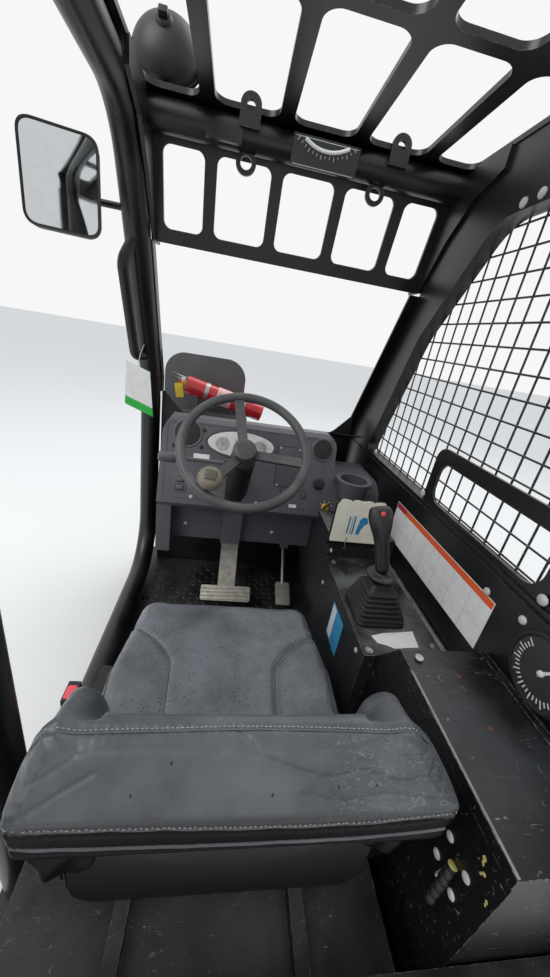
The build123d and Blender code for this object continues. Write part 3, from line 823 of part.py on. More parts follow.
arm += bent_tube([(MIRROR_X, mirror_y, mirror_z), (MIRROR_X, rod_y, mirror_z), (HOOP_X, rod_y, mirror_z)],
                 [3 * MIRROR_ARM_R], MIRROR_ARM_R)
save("mirror_arm", arm - hoop)

# Work lamp in a yoke on the roof's front edge
lamp_z = ROOF_UNDER + LAMP_RISE
yoke_in = LAMP_R + YOKE_GAP
dome_r = (LAMP_R ** 2 + LAMP_DOME ** 2) / (2 * LAMP_DOME)
half_rim = LAMP_RIM_DEPTH / 2
dome_tip = -half_rim - LAMP_DOME
half_turn = asin(LAMP_R / dome_r) / 2
dome_arc = ThreePointArc((0, dome_tip), (dome_r * sin(half_turn), dome_tip + dome_r * (1 - cos(half_turn))),
                         (LAMP_R, -half_rim))
rim_line = Polyline((LAMP_R, -half_rim), (LAMP_R, half_rim), (0, half_rim), (0, dome_tip))
shell = make_face([dome_arc, rim_line])
lamp = Pos(LAMP_X, LAMP_Y, lamp_z) * Rot(LAMP_TILT, 0, 0) * revolve(shell, axis=Axis.Y)
lamp += across(LAMP_X, LAMP_Y, lamp_z, LAMP_PIN_R, yoke_in - GAP)
save("work_lamp", lamp)
yoke_z = ROOF_UNDER + ROOF_THICK
yoke = block(LAMP_X - YOKE_FOOT, LAMP_X + YOKE_FOOT, SLOT_ROW_FRONT + YOKE_HALF, LAMP_Y + YOKE_HALF,
             yoke_z, yoke_z + YOKE_THICK)
yoke += block(LAMP_X - yoke_in - YOKE_THICK, LAMP_X + yoke_in + YOKE_THICK,
              LAMP_Y - YOKE_HALF, LAMP_Y + YOKE_HALF,
              yoke_z, yoke_z + YOKE_THICK)
for x0 in (LAMP_X - yoke_in - YOKE_THICK, LAMP_X + yoke_in):
    yoke += block(x0, x0 + YOKE_THICK, LAMP_Y - YOKE_HALF, LAMP_Y + YOKE_HALF, yoke_z, lamp_z + YOKE_HALF)
save("lamp_bracket", yoke)

# Panel in front of the cab with a shelf and cradles, and the extinguisher on them
bottle_left = Vector(BOTTLE_LEFT, BOTTLE_Y, BOTTLE_LEFT_Z)
bottle_right = Vector(BOTTLE_RIGHT, BOTTLE_Y, BOTTLE_RIGHT_Z)
panel = front_plate([(PANEL_LEFT, PANEL_BOTTOM), (PANEL_RIGHT, PANEL_BOTTOM), (PANEL_RIGHT, PANEL_TOP),
                     (PANEL_LEFT, PANEL_TOP)],
                    [PANEL_R, PANEL_R, PANEL_R, PANEL_R], PANEL_Y, PANEL_THICK)
panel += block(DASH_LEFT, RACK_RIGHT, WALL_Y + WALL_THICK, PANEL_Y, RACK_SHELF_Z - RACK_THICK, RACK_SHELF_Z)
bottle_slope = (BOTTLE_RIGHT_Z - BOTTLE_LEFT_Z) / (BOTTLE_RIGHT - BOTTLE_LEFT)
for x in CRADLE_X:
    middle_z = BOTTLE_LEFT_Z + (x - BOTTLE_LEFT) * bottle_slope
    panel += block(x - CRADLE_HALF_WIDTH, x + CRADLE_HALF_WIDTH,
                   BOTTLE_Y - CRADLE_HALF_DEPTH, BOTTLE_Y + CRADLE_HALF_DEPTH,
                   RACK_SHELF_Z, middle_z - BOTTLE_R / 2)
panel -= rod(tuple(bottle_left), tuple(bottle_right), BOTTLE_R + GAP)
save("front_panel", panel)
bottle = rod(tuple(bottle_left), tuple(bottle_right), BOTTLE_R)
neck = bottle_left + (bottle_left - bottle_right).normalized() * VALVE_LENGTH
bottle += rod(tuple(bottle_left), tuple(neck), VALVE_R)
save("extinguisher", bottle)
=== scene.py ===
"""Looks for an open operator's cab: finishes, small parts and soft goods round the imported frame.

Lengths in this file are millimetres, and one function turns them into Blender's metres. X points to
the operator's right, Y forward and Z up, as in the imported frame.
"""

import json
import logging
import math
from collections.abc import Callable, Iterable, Iterator
from contextlib import contextmanager
from dataclasses import dataclass
from enum import Enum

import bmesh
import bpy
from mathutils import Matrix, Vector
from mathutils.geometry import interpolate_bezier
from mathutils.kdtree import KDTree

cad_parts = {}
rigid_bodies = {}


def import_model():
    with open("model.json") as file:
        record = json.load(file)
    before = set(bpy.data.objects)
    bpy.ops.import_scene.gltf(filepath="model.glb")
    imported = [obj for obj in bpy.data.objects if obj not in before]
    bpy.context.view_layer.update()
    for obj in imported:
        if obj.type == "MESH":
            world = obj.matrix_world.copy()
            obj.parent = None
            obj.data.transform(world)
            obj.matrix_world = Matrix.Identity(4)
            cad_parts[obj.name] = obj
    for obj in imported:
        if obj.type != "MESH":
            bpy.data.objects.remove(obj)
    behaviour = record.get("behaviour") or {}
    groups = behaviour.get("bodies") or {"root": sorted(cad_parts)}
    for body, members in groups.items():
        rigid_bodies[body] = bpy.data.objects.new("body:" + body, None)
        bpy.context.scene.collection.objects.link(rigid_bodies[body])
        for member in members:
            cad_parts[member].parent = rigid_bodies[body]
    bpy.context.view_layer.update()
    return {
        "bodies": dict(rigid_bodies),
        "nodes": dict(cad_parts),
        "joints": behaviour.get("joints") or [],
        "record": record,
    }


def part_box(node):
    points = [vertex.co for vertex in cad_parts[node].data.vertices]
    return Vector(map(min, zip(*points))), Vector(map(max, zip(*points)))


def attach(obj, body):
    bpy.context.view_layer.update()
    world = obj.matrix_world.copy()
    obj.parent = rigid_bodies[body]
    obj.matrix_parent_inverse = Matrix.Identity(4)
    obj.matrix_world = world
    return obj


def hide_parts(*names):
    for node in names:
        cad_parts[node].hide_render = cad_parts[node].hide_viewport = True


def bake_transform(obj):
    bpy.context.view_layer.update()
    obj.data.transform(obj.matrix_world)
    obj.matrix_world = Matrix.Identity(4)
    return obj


LOG = logging.getLogger("cab")
MM = 0.001

Point = tuple[float, float, float]
Flat = tuple[float, float]
Piece = bpy.types.Object
Material = bpy.types.Material
Tree = bpy.types.NodeTree
Node = bpy.types.Node

UP: Point = (0.0, 0.0, 1.0)
RIGHT: Point = (1.0, 0.0, 0.0)
LEFT: Point = (-1.0, 0.0, 0.0)
BACK: Point = (0.0, -1.0, 0.0)
SHARE, UNDER, OVER = 0, 6, 7                   # the inputs of a node that mixes two colours


# Units, frames and selection

def metres(point: Iterable[float]) -> Vector:
    """A place in millimetres as a vector in metres."""
    return Vector(point) * MM


def corners(node: str) -> tuple[Vector, Vector]:
    """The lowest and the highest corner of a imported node, in millimetres."""
    low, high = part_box(node)
    return low / MM, high / MM


def seated(at: Iterable[float], normal: Iterable[float], turn: float = 0.0) -> Matrix:
    """A frame whose Z axis stands on a surface.

    Args:
        at: its origin, in millimetres.
        normal: which way its Z axis points.
        turn: degrees that it is turned about that axis.

    Returns:
        The frame as a matrix in metres.
    """
    up = Vector(normal).normalized()
    across = Vector((1.0, 0.0, 0.0)) if abs(up.x) < 0.9 else Vector((0.0, 1.0, 0.0))
    side = (across - up * across.dot(up)).normalized()
    basis = Matrix((side, up.cross(side), up)).transposed().to_4x4()
    return Matrix.Translation(metres(at)) @ basis @ spin(turn)


def shift(x: float, y: float, z: float) -> Matrix:
    """A move by distances in millimetres."""
    return Matrix.Translation((x * MM, y * MM, z * MM))


def spin(degrees: float) -> Matrix:
    """A turn about the Z axis."""
    return Matrix.Rotation(math.radians(degrees), 4, "Z")


def progress(value: float, start: float, end: float) -> float:
    """How far a value is from a start, at 0, to an end, at 1, and no further."""
    return min(1.0, max(0.0, (value - start) / (end - start)))


def only(piece: Piece) -> None:
    """Select one object alone and make it the active one."""
    bpy.ops.object.select_all(action="DESELECT")
    piece.select_set(True)
    bpy.context.view_layer.objects.active = piece


class Pick(Enum):
    """Which kind of element a selection is made of."""

    FACES = "FACE"
    EDGES = "EDGE"
    VERTS = "VERT"


@contextmanager
def editing(piece: Piece) -> Iterator[None]:
    """Work on the points of one mesh in edit mode, with nothing selected at first."""
    only(piece)
    bpy.ops.object.mode_set(mode="EDIT")
    bpy.ops.mesh.select_mode(type=Pick.VERTS.value)
    bpy.ops.mesh.select_all(action="DESELECT")
    yield
    bpy.ops.object.mode_set(mode="OBJECT")


def pick(piece: Piece, kind: Pick, test: Callable[[object], bool]) -> None:
    """Select the elements of the mesh in edit mode that pass a test.

    Args:
        piece: the object being edited.
        kind: faces, edges or vertices.
        test: is given each element, and says whether it is taken.
    """
    bpy.ops.mesh.select_mode(type=kind.value)
    shape = bmesh.from_edit_mesh(piece.data)
    for element in getattr(shape, kind.name.lower()):
        element.select_set(bool(test(element)))
    shape.select_flush_mode()
    bmesh.update_edit_mesh(piece.data)


def facing(direction: Iterable[float], at_least: float = 0.9) -> Callable[[object], bool]:
    """A test for faces that point in a direction."""
    way = Vector(direction).normalized()
    return lambda face: face.normal.dot(way) > at_least


# Making meshes with the modelling operators

def name_active(name: str) -> Piece:
    """Name the object that an operator has just made."""
    piece = bpy.context.active_object
    piece.name = name
    piece.data.name = name
    return piece


def freeze(piece: Piece) -> Piece:
    """Put the object at the origin, with its place in its mesh."""
    only(piece)
    bpy.ops.object.transform_apply(location=True, rotation=True, scale=True)
    return piece


def moved(piece: Piece, frame: Matrix) -> Piece:
    """Carry a finished mesh into a frame."""
    piece.matrix_world = frame @ piece.matrix_world
    return freeze(piece)


def box(name: str, low: Iterable[float], high: Iterable[float]) -> Piece:
    """A box from its lowest to its highest corner, in millimetres."""
    a, b = metres(low), metres(high)
    bpy.ops.object.select_all(action="DESELECT")
    bpy.ops.mesh.primitive_cube_add(size=1.0, location=(a + b) / 2)
    piece = name_active(name)
    piece.scale = b - a
    return freeze(piece)


def disc(name: str, radius: float, depth: float, sides: int = 32) -> Piece:
    """A round slab that stands on the origin of its own frame."""
    bpy.ops.object.select_all(action="DESELECT")
    bpy.ops.mesh.primitive_cylinder_add(vertices=sides, radius=radius * MM, depth=depth * MM,
                                        location=(0, 0, depth * MM / 2))
    return freeze(name_active(name))


def trace(name: str, points: Iterable[Iterable[float]], closed: bool = False) -> Piece:
    """Draw a chain of edges by extruding one vertex from place to place.

    Args:
        name: the new object's name.
        points: the places, in millimetres.
        closed: whether the last vertex joins the first and the outline is filled.

    Returns:
        The new object.
    """
    places = [metres(p) for p in points]
    bpy.ops.object.select_all(action="DESELECT")
    bpy.ops.mesh.primitive_plane_add(size=MM)
    piece = name_active(name)
    with editing(piece):
        bpy.ops.mesh.select_all(action="SELECT")
        bpy.ops.mesh.merge(type="CENTER")
        bpy.ops.transform.translate(value=places[0])
        for start, end in zip(places, places[1:]):
            bpy.ops.mesh.extrude_region_move(TRANSFORM_OT_translate={"value": end - start})
        if closed:
            bpy.ops.mesh.select_all(action="SELECT")
            bpy.ops.mesh.edge_face_add()
    return piece


def plate(name: str, outline: Iterable[Flat], thick: float, edge: float = 0.0, steps: int = 2) -> Piece:
    """A flat plate on the XY plane of its own frame, with its edges rounded.

    Args:
        name: the new object's name.
        outline: its corners, in millimetres, anticlockwise.
        thick: its thickness, upwards.
        edge: the radius along its upper edges.
        steps: segments of that radius.

    Returns:
        The new object.
    """
    piece = trace(name, [(x, y, 0.0) for x, y in outline], closed=True)
    with editing(piece):
        bpy.ops.mesh.select_all(action="SELECT")
        bpy.ops.mesh.extrude_region_move(TRANSFORM_OT_translate={"value": (0, 0, thick * MM)})
        bpy.ops.mesh.select_all(action="SELECT")
        bpy.ops.mesh.normals_make_consistent(inside=False)
        if edge:
            pick(piece, Pick.FACES, facing(UP))
            bpy.ops.mesh.region_to_loop()
            bpy.ops.mesh.bevel(offset=edge * MM, segments=steps, affect="EDGES")
    return piece


def round_corners(points: list[Flat], radius: float, steps: int = 5) -> list[Flat]:
    """An outline with each corner replaced by a short arc.

    Args:
        points: the corners, in millimetres, anticlockwise.
        radius: how far from each corner the arc starts.
        steps: how many points each arc has.

    Returns:
        The new outline.
    """
    made = []
    for index, corner in enumerate(points):
        here = Vector(corner)
        before, after = Vector(points[index - 1]), Vector(points[(index + 1) % len(points)])
        start = here + (before - here).normalized() * radius
        end = here + (after - here).normalized() * radius
        for step in range(steps):
            share = step / (steps - 1)
            made.append(tuple(start.lerp(here, share).lerp(here.lerp(end, share), share)))
    return made


def rectangle(width: float, height: float, radius: float = 0.0) -> list[Flat]:
    """The outline of a rectangle about the origin, with round corners where asked."""
    x, y = width / 2, height / 2
    points = [(-x, -y), (x, -y), (x, y), (-x, y)]
    return round_corners(points, radius) if radius else points


def ellipse(half_width: float, half_height: float, steps: int = 48) -> list[Flat]:
    """The outline of an ellipse about the origin."""
    angles = [2 * math.pi * i / steps for i in range(steps)]
    return [(half_width * math.cos(a), half_height * math.sin(a)) for a in angles]


def lathe(name: str, profile: Iterable[Flat], steps: int = 40) -> Piece:
    """A turned shape about the Z axis of its own frame.

    Args:
        name: the new object's name.
        profile: radius and height of each point of its outline, in millimetres, from end to end.
        steps: how many times the outline is repeated round the axis.

    Returns:
        The new object.
    """
    piece = trace(name, [(r, 0.0, z) for r, z in profile])
    with editing(piece):
        bpy.ops.mesh.select_all(action="SELECT")
        bpy.ops.mesh.spin(steps=steps, angle=2 * math.pi, center=(0, 0, 0), axis=UP)
        bpy.ops.mesh.select_all(action="SELECT")
        bpy.ops.mesh.remove_doubles(threshold=0.02 * MM)
        bpy.ops.mesh.normals_make_consistent(inside=False)
    return piece


def pipe(name: str, points: Iterable[Iterable[float]], radius: float, smooth: bool = True,
         sides: int = 3, cyclic: bool = False) -> Piece:
    """A round bar along a line, as a mesh with closed ends.

    Args:
        name: the new object's name.
        points: the line's points, in millimetres.
        radius: of the bar.
        smooth: whether the line is a curve led by its points or runs straight between them.
        sides: how finely its section is divided.
        cyclic: whether it joins up with itself.

    Returns:
        The new object.
    """
    places = [metres(p) for p in points]
    bpy.ops.object.select_all(action="DESELECT")
    bpy.ops.curve.primitive_nurbs_path_add()
    piece = name_active(name)
    curve = piece.data
    curve.splines.clear()
    spline = curve.splines.new("NURBS" if smooth else "POLY")
    spline.points.add(len(places) - 1)
    for point, place in zip(spline.points, places):
        point.co = (*place, 1.0)
    if smooth:
        spline.order_u = 3
        spline.use_endpoint_u = not cyclic
        spline.resolution_u = 6
    spline.use_cyclic_u = cyclic
    curve.bevel_depth = radius * MM
    curve.bevel_resolution = sides
    curve.use_fill_caps = not cyclic
    only(piece)
    bpy.ops.object.convert(target="MESH")
    return freeze(bpy.context.active_object)


def apply_all(piece: Piece) -> Piece:
    """Apply every modifier of a piece, in order."""
    only(piece)
    for modifier in list(piece.modifiers):
        bpy.ops.object.modifier_apply(modifier=modifier.name)
    return piece


def soften(piece: Piece, width: float, segments: int = 2, angle: float = 40.0) -> Piece:
    """Round the sharp edges of a piece with a bevel."""
    bevel = piece.modifiers.new("edge", "BEVEL")
    bevel.width = width * MM
    bevel.segments = segments
    bevel.limit_method = "ANGLE"
    bevel.angle_limit = math.radians(angle)
    return apply_all(piece)


def smoothed(piece: Piece, levels: int) -> Piece:
    """Subdivide a piece into a smooth surface."""
    surface = piece.modifiers.new("surface", "SUBSURF")
    surface.levels = levels
    surface.render_levels = levels
    return apply_all(piece)


def joined(name: str, pieces: list[Piece]) -> Piece:
    """Make one object of several."""
    bpy.ops.object.select_all(action="DESELECT")
    for piece in pieces:
        piece.select_set(True)
    bpy.context.view_layer.objects.active = pieces[0]
    if len(pieces) > 1:
        bpy.ops.object.join()
    return name_active(name)


def repeated(name: str, seed: Piece, frames: Iterable[Matrix]) -> Piece:
    """Copy one model to many places, each copy with its own mesh, and join them.

    Args:
        name: the name of the joined object.
        seed: the model, in its own frame; it is used up.
        frames: where each copy goes.

    Returns:
        The joined object.
    """
    pieces = []
    for frame in frames:
        copy = seed.copy()
        copy.data = seed.data.copy()
        copy.data.transform(frame)
        bpy.context.scene.collection.objects.link(copy)
        pieces.append(copy)
    bpy.data.objects.remove(seed)
    return joined(name, pieces)


def ringed(name: str, frame: Matrix, outline: list[Flat]) -> Piece:
    """A closed loop of edges in a frame, with no face."""
    ring = trace(name, [(x, y, 0.0) for x, y in outline], closed=True)
    with editing(ring):
        bpy.ops.mesh.select_all(action="SELECT")
        bpy.ops.mesh.delete(type="ONLY_FACE")
    return moved(ring, frame)


def lofted(name: str, rings: Iterable[tuple[Matrix, list[Flat]]]) -> Piece:
    """A skin bridged through outlines, with both ends closed.

    Args:
        name: the new object's name.
        rings: the frame and the outline of each section, in order, with equal numbers of points.

    Returns:
        The new object.
    """
    piece = joined(name, [ringed(f"{name}_ring", frame, outline) for frame, outline in rings])
    with editing(piece):
        bpy.ops.mesh.select_all(action="SELECT")
        bpy.ops.mesh.bridge_edge_loops()
        bpy.ops.mesh.select_all(action="SELECT")
        bpy.ops.mesh.fill_holes(sides=0)
        bpy.ops.mesh.normals_make_consistent(inside=False)
    return piece


def arrayed(piece: Piece, counts: tuple[int, int], step: float) -> Piece:
    """Repeat a piece along X and then along Y.

    Args:
        piece: the model at the first place.
        counts: how many copies along X and along Y.
        step: the distance between copies, in millimetres.

    Returns:
        The piece with all its copies in one mesh.
    """
    for axis, count in enumerate(counts):
        copies = piece.modifiers.new("copies", "ARRAY")
        copies.count = count
        copies.use_relative_offset = False
        copies.use_constant_offset = True
        copies.constant_offset_displace = [step * MM if i == axis else 0.0 for i in range(3)]
    return apply_all(piece)


def domed(radius: float, height: float, steps: int = 16) -> Piece:
    """A low round head that stands on the origin of its own frame."""
    profile = ((0.0, height), (0.55 * radius, 0.96 * height), (0.85 * radius, 0.7 * height),
               (radius, 0.3 * height), (radius, 0.0))
    return lathe("head", profile, steps)


def hexagon(radius: float, height: float) -> Piece:
    """A hexagon head on its washer, standing on the origin of its own frame."""
    washer = disc("washer", 1.3 * radius, 0.25 * height, 24)
    head = soften(disc("hexagon", radius, height, 6), 0.12 * radius)
    return joined("bolt", [washer, head])


def socket(radius: float, height: float) -> Piece:
    """A cap screw: a round head with a recess in its middle."""
    profile = ((0.0, 0.4 * height), (0.45 * radius, 0.4 * height), (0.45 * radius, height),
               (0.85 * radius, height), (radius, 0.8 * height), (radius, 0.0))
    return lathe("screw", profile, 18)


def flowing(points: Iterable[Iterable[float]], step: float = 4.0) -> list[Vector]:
    """A smooth line through places, cut into short steps, in metres."""
    places = [metres(p) for p in points]
    ends = [places[0] * 2 - places[1], *places, places[-1] * 2 - places[-2]]
    made = []
    for before, start, end, after in zip(ends, ends[1:], ends[2:], ends[3:]):
        count = max(2, round((end - start).length / (step * MM))) + 1
        lead, trail = start + (end - before) / 6, end - (after - start) / 6
        made += interpolate_bezier(start, lead, trail, end, count)[:-1]
    return [*made, places[-1]]


# Finishes

def linear(colour: str) -> tuple[float, float, float, float]:
    """Turn an sRGB hex colour into Blender's linear values."""
    made = []
    for start in (1, 3, 5):
        value = int(colour[start:start + 2], 16) / 255
        made.append(value / 12.92 if value <= 0.04045 else ((value + 0.055) / 1.055) ** 2.4)
    return (*made, 1.0)


def feed(node: Node, key: str | int, value: object) -> None:
    """Give one input of a node its value, or the link that feeds it.

    Args:
        node: the node.
        key: the input, by name or number.
        value: a constant, a socket, or a node, which then feeds its first output in use.
    """
    if isinstance(value, Node):
        value = next(output for output in value.outputs if output.enabled)
    if isinstance(value, bpy.types.NodeSocket):
        node.id_data.links.new(value, node.inputs[key])
    else:
        node.inputs[key].default_value = value


def add(tree: Tree, kind: str, inputs: dict | None = None, **settings: object) -> Node:
    """Add one shader node.

    Args:
        tree: the node tree that it joins.
        kind: Blender's name for it, without the word in front.
        inputs: what each input is given, by name or number.
        settings: values of the node's own properties.

    Returns:
        The node.
    """
    node = tree.nodes.new("ShaderNode" + kind)
    for key, value in settings.items():
        setattr(node, key, value)
    for key, value in (inputs or {}).items():
        feed(node, key, value)
    return node


def clouded(tree: Tree, colour: str, cloud: Node, share: float, dark: str) -> Node:
    """A colour that is darker in soft clouds.

    Args:
        tree: the node tree of a material.
        colour: the sRGB hex colour.
        cloud: the noise that makes the clouds.
        share: how much they show.
        dark: the tone of the darkest ones.

    Returns:
        The node that mixes them.
    """
    shade = add(tree, "ValToRGB", {"Fac": cloud})
    for element, (place, tone) in zip(shade.color_ramp.elements, ((0.3, dark), (0.7, "#ffffff"))):
        element.position = place
        element.color = linear(tone)
    return add(tree, "Mix", {SHARE: share, UNDER: linear(colour), OVER: shade}, data_type="RGBA",
               blend_type="MULTIPLY")


def looking_up(tree: Tree, start: float, end: float, most: float = 1.0) -> Node:
    """How far a face looks up.

    Args:
        tree: the node tree of a material.
        start: the height of its normal from which it counts.
        end: the height from which it counts in full.
        most: the full value.

    Returns:
        The node with the value.
    """
    normal = add(tree, "TexCoord").outputs["Normal"]
    height = add(tree, "SeparateXYZ", {0: normal}).outputs["Z"]
    return add(tree, "MapRange", {"Value": height, "From Min": start, "From Max": end, "To Max": most})


def contour(tree: Tree, noise: Node, level: float = 0.5) -> Node:
    """How far a noise is from one level, which is nothing along thin winding lines."""
    off = add(tree, "Math", {0: noise, 1: level}, operation="SUBTRACT")
    return add(tree, "Math", {0: off}, operation="ABSOLUTE")


@dataclass(frozen=True)
class Finish:
    """What every finish states: its name, its colour and how rough it is."""

    name: str
    colour: str
    roughness: float = 0.5
    slot: str = "frame_paint"

    def start(self) -> tuple[Material, Tree, Node, bpy.types.NodeSocket]:
        """Make an empty material.

        Returns:
            The material, its tree, its shader and the Object coordinates.
        """
        material = bpy.data.materials.new(self.name)
        material.use_nodes = True
        tree = material.node_tree
        shader = tree.nodes["Principled BSDF"]
        shader.inputs["Base Color"].default_value = linear(self.colour)
        shader.inputs["Roughness"].default_value = self.roughness
        return material, tree, shader, add(tree, "TexCoord").outputs["Object"]


@dataclass(frozen=True)
class SatinEnamel(Finish):
    """Satin enamel sprayed on welded steel.

    The eye sees a deep, slightly uneven black with a grey sheen, an orange peel of about 3 mm, pale
    steel where edges are rubbed, dust on what faces up, and scratches where feet and hands go.
    """

    bare: str = "#8c8b87"
    wear: float = 0.35
    dust: float = 0.25
    dust_colour: str = "#6d6a63"
    scratches: float = 0.2
    rust: float = 0.0
    edge: float = 1.6

    def material(self) -> Material:
        """Build the material."""
        material, tree, shader, place = self.start()
        cloud = add(tree, "TexNoise", {"Vector": place, "Scale": 7.0, "Detail": 5.0, "Roughness": 0.6})
        speck = add(tree, "TexNoise", {"Vector": place, "Scale": 120.0, "Detail": 3.0})
        tone = clouded(tree, self.colour, cloud, 0.5, "#8a8a8c")
        upward = looking_up(tree, 0.2, 1.0)
        grime = add(tree, "MapRange", {"Value": cloud, "From Min": 0.42, "From Max": 0.68})
        dusty = add(tree, "Math", {0: upward, 1: grime}, operation="MULTIPLY")
        dusty = add(tree, "Math", {0: dusty, 1: self.dust}, operation="MULTIPLY")
        powdered = add(tree, "Mix", {SHARE: dusty, UNDER: tone, OVER: linear(self.dust_colour)},
                       data_type="RGBA")
        stretch = add(tree, "Mapping",
                      {"Vector": place, "Rotation": (0.5, 0.7, 0.9), "Scale": (1.0, 4.0, 4.0)})
        lines = add(tree, "TexNoise", {"Vector": stretch, "Scale": 5.0, "Detail": 2.0, "Distortion": 1.5})
        fine = add(tree, "MapRange", {"Value": contour(tree, lines), "From Min": 0.007, "From Max": 0.0})
        broken = add(tree, "MapRange", {"Value": speck, "From Min": 0.5, "From Max": 0.7})
        scratch = add(tree, "Math", {0: fine, 1: broken}, operation="MULTIPLY")
        scratch = add(tree, "Math", {0: scratch, 1: self.scratches}, operation="MULTIPLY")
        soft = add(tree, "Bevel", {"Radius": self.edge * MM}, samples=4)
        true = add(tree, "NewGeometry").outputs["Normal"]
        turn = add(tree, "VectorMath", {0: soft, 1: true}, operation="DOT_PRODUCT")
        rim = add(tree, "MapRange", {"Value": turn, "From Min": 0.97, "From Max": 0.86})
        patchy = add(tree, "MapRange", {"Value": speck, "From Min": 0.48, "From Max": 0.56})
        chip = add(tree, "Math", {0: rim, 1: patchy}, operation="MULTIPLY")
        chip = add(tree, "Math", {0: chip, 1: self.wear}, operation="MULTIPLY")
        bared = add(tree, "Math", {0: chip, 1: scratch}, operation="MAXIMUM")
        colour = add(tree, "Mix", {SHARE: bared, UNDER: powdered, OVER: linear(self.bare)}, data_type="RGBA")
        if self.rust:
            blotch = add(tree, "TexNoise", {"Vector": place, "Scale": 30.0, "Detail": 6.0})
            spot = add(tree, "MapRange",
                       {"Value": blotch, "From Min": 0.66, "From Max": 0.72, "To Max": self.rust})
            colour = add(tree, "Mix", {SHARE: spot, UNDER: colour, OVER: linear("#5e3a22")},
                         data_type="RGBA")
        feed(shader, "Base Color", colour)
        dull = add(tree, "MapRange", {"Value": dusty, "To Min": self.roughness, "To Max": 0.85})
        feed(shader, "Roughness", dull)
        peel = add(tree, "TexNoise", {"Vector": place, "Scale": 320.0, "Detail": 1.0})
        bump = add(tree, "Bump", {"Height": peel, "Strength": 0.12, "Distance": 0.4 * MM})
        feed(shader, "Normal", bump)
        return material


@dataclass(frozen=True)
class GrainedPlastic(Finish):
    """Injection moulded ABS from a grained tool.

    The eye sees an even charcoal with a fine pebble grain, drawn at 2.2 mm because the real 1 mm is
    too fine to show, a soft wide highlight, and pale dust in patches.
    """

    grain: float = 2.2
    depth: float = 0.3
    dust: float = 0.2
    dust_colour: str = "#7a776f"
    scuffs: float = 0.15

    def material(self) -> Material:
        """Build the material."""
        material, tree, shader, place = self.start()
        cloud = add(tree, "TexNoise", {"Vector": place, "Scale": 11.0, "Detail": 6.0, "Roughness": 0.65})
        tone = clouded(tree, self.colour, cloud, 0.35, "#9a9a9c")
        upward = looking_up(tree, 0.0, 1.0)
        patch = add(tree, "MapRange",
                    {"Value": cloud, "From Min": 0.45, "From Max": 0.7, "To Max": self.dust})
        dusty = add(tree, "Math", {0: upward, 1: patch}, operation="MULTIPLY")
        powdered = add(tree, "Mix", {SHARE: dusty, UNDER: tone, OVER: linear(self.dust_colour)},
                       data_type="RGBA")
        mark = add(tree, "TexNoise", {"Vector": place, "Scale": 55.0, "Detail": 8.0, "Roughness": 0.75})
        rubbed = add(tree, "MapRange",
                     {"Value": mark, "From Min": 0.62, "From Max": 0.72, "To Max": self.scuffs})
        colour = add(tree, "Mix", {SHARE: rubbed, UNDER: powdered, OVER: linear(self.dust_colour)},
                     data_type="RGBA")
        feed(shader, "Base Color", colour)
        pebble = add(tree, "TexVoronoi", {"Vector": place, "Scale": 1000.0 / self.grain})
        bump = add(tree, "Bump", {"Height": pebble, "Strength": self.depth, "Distance": 0.3 * MM})
        feed(shader, "Normal", bump)
        return material


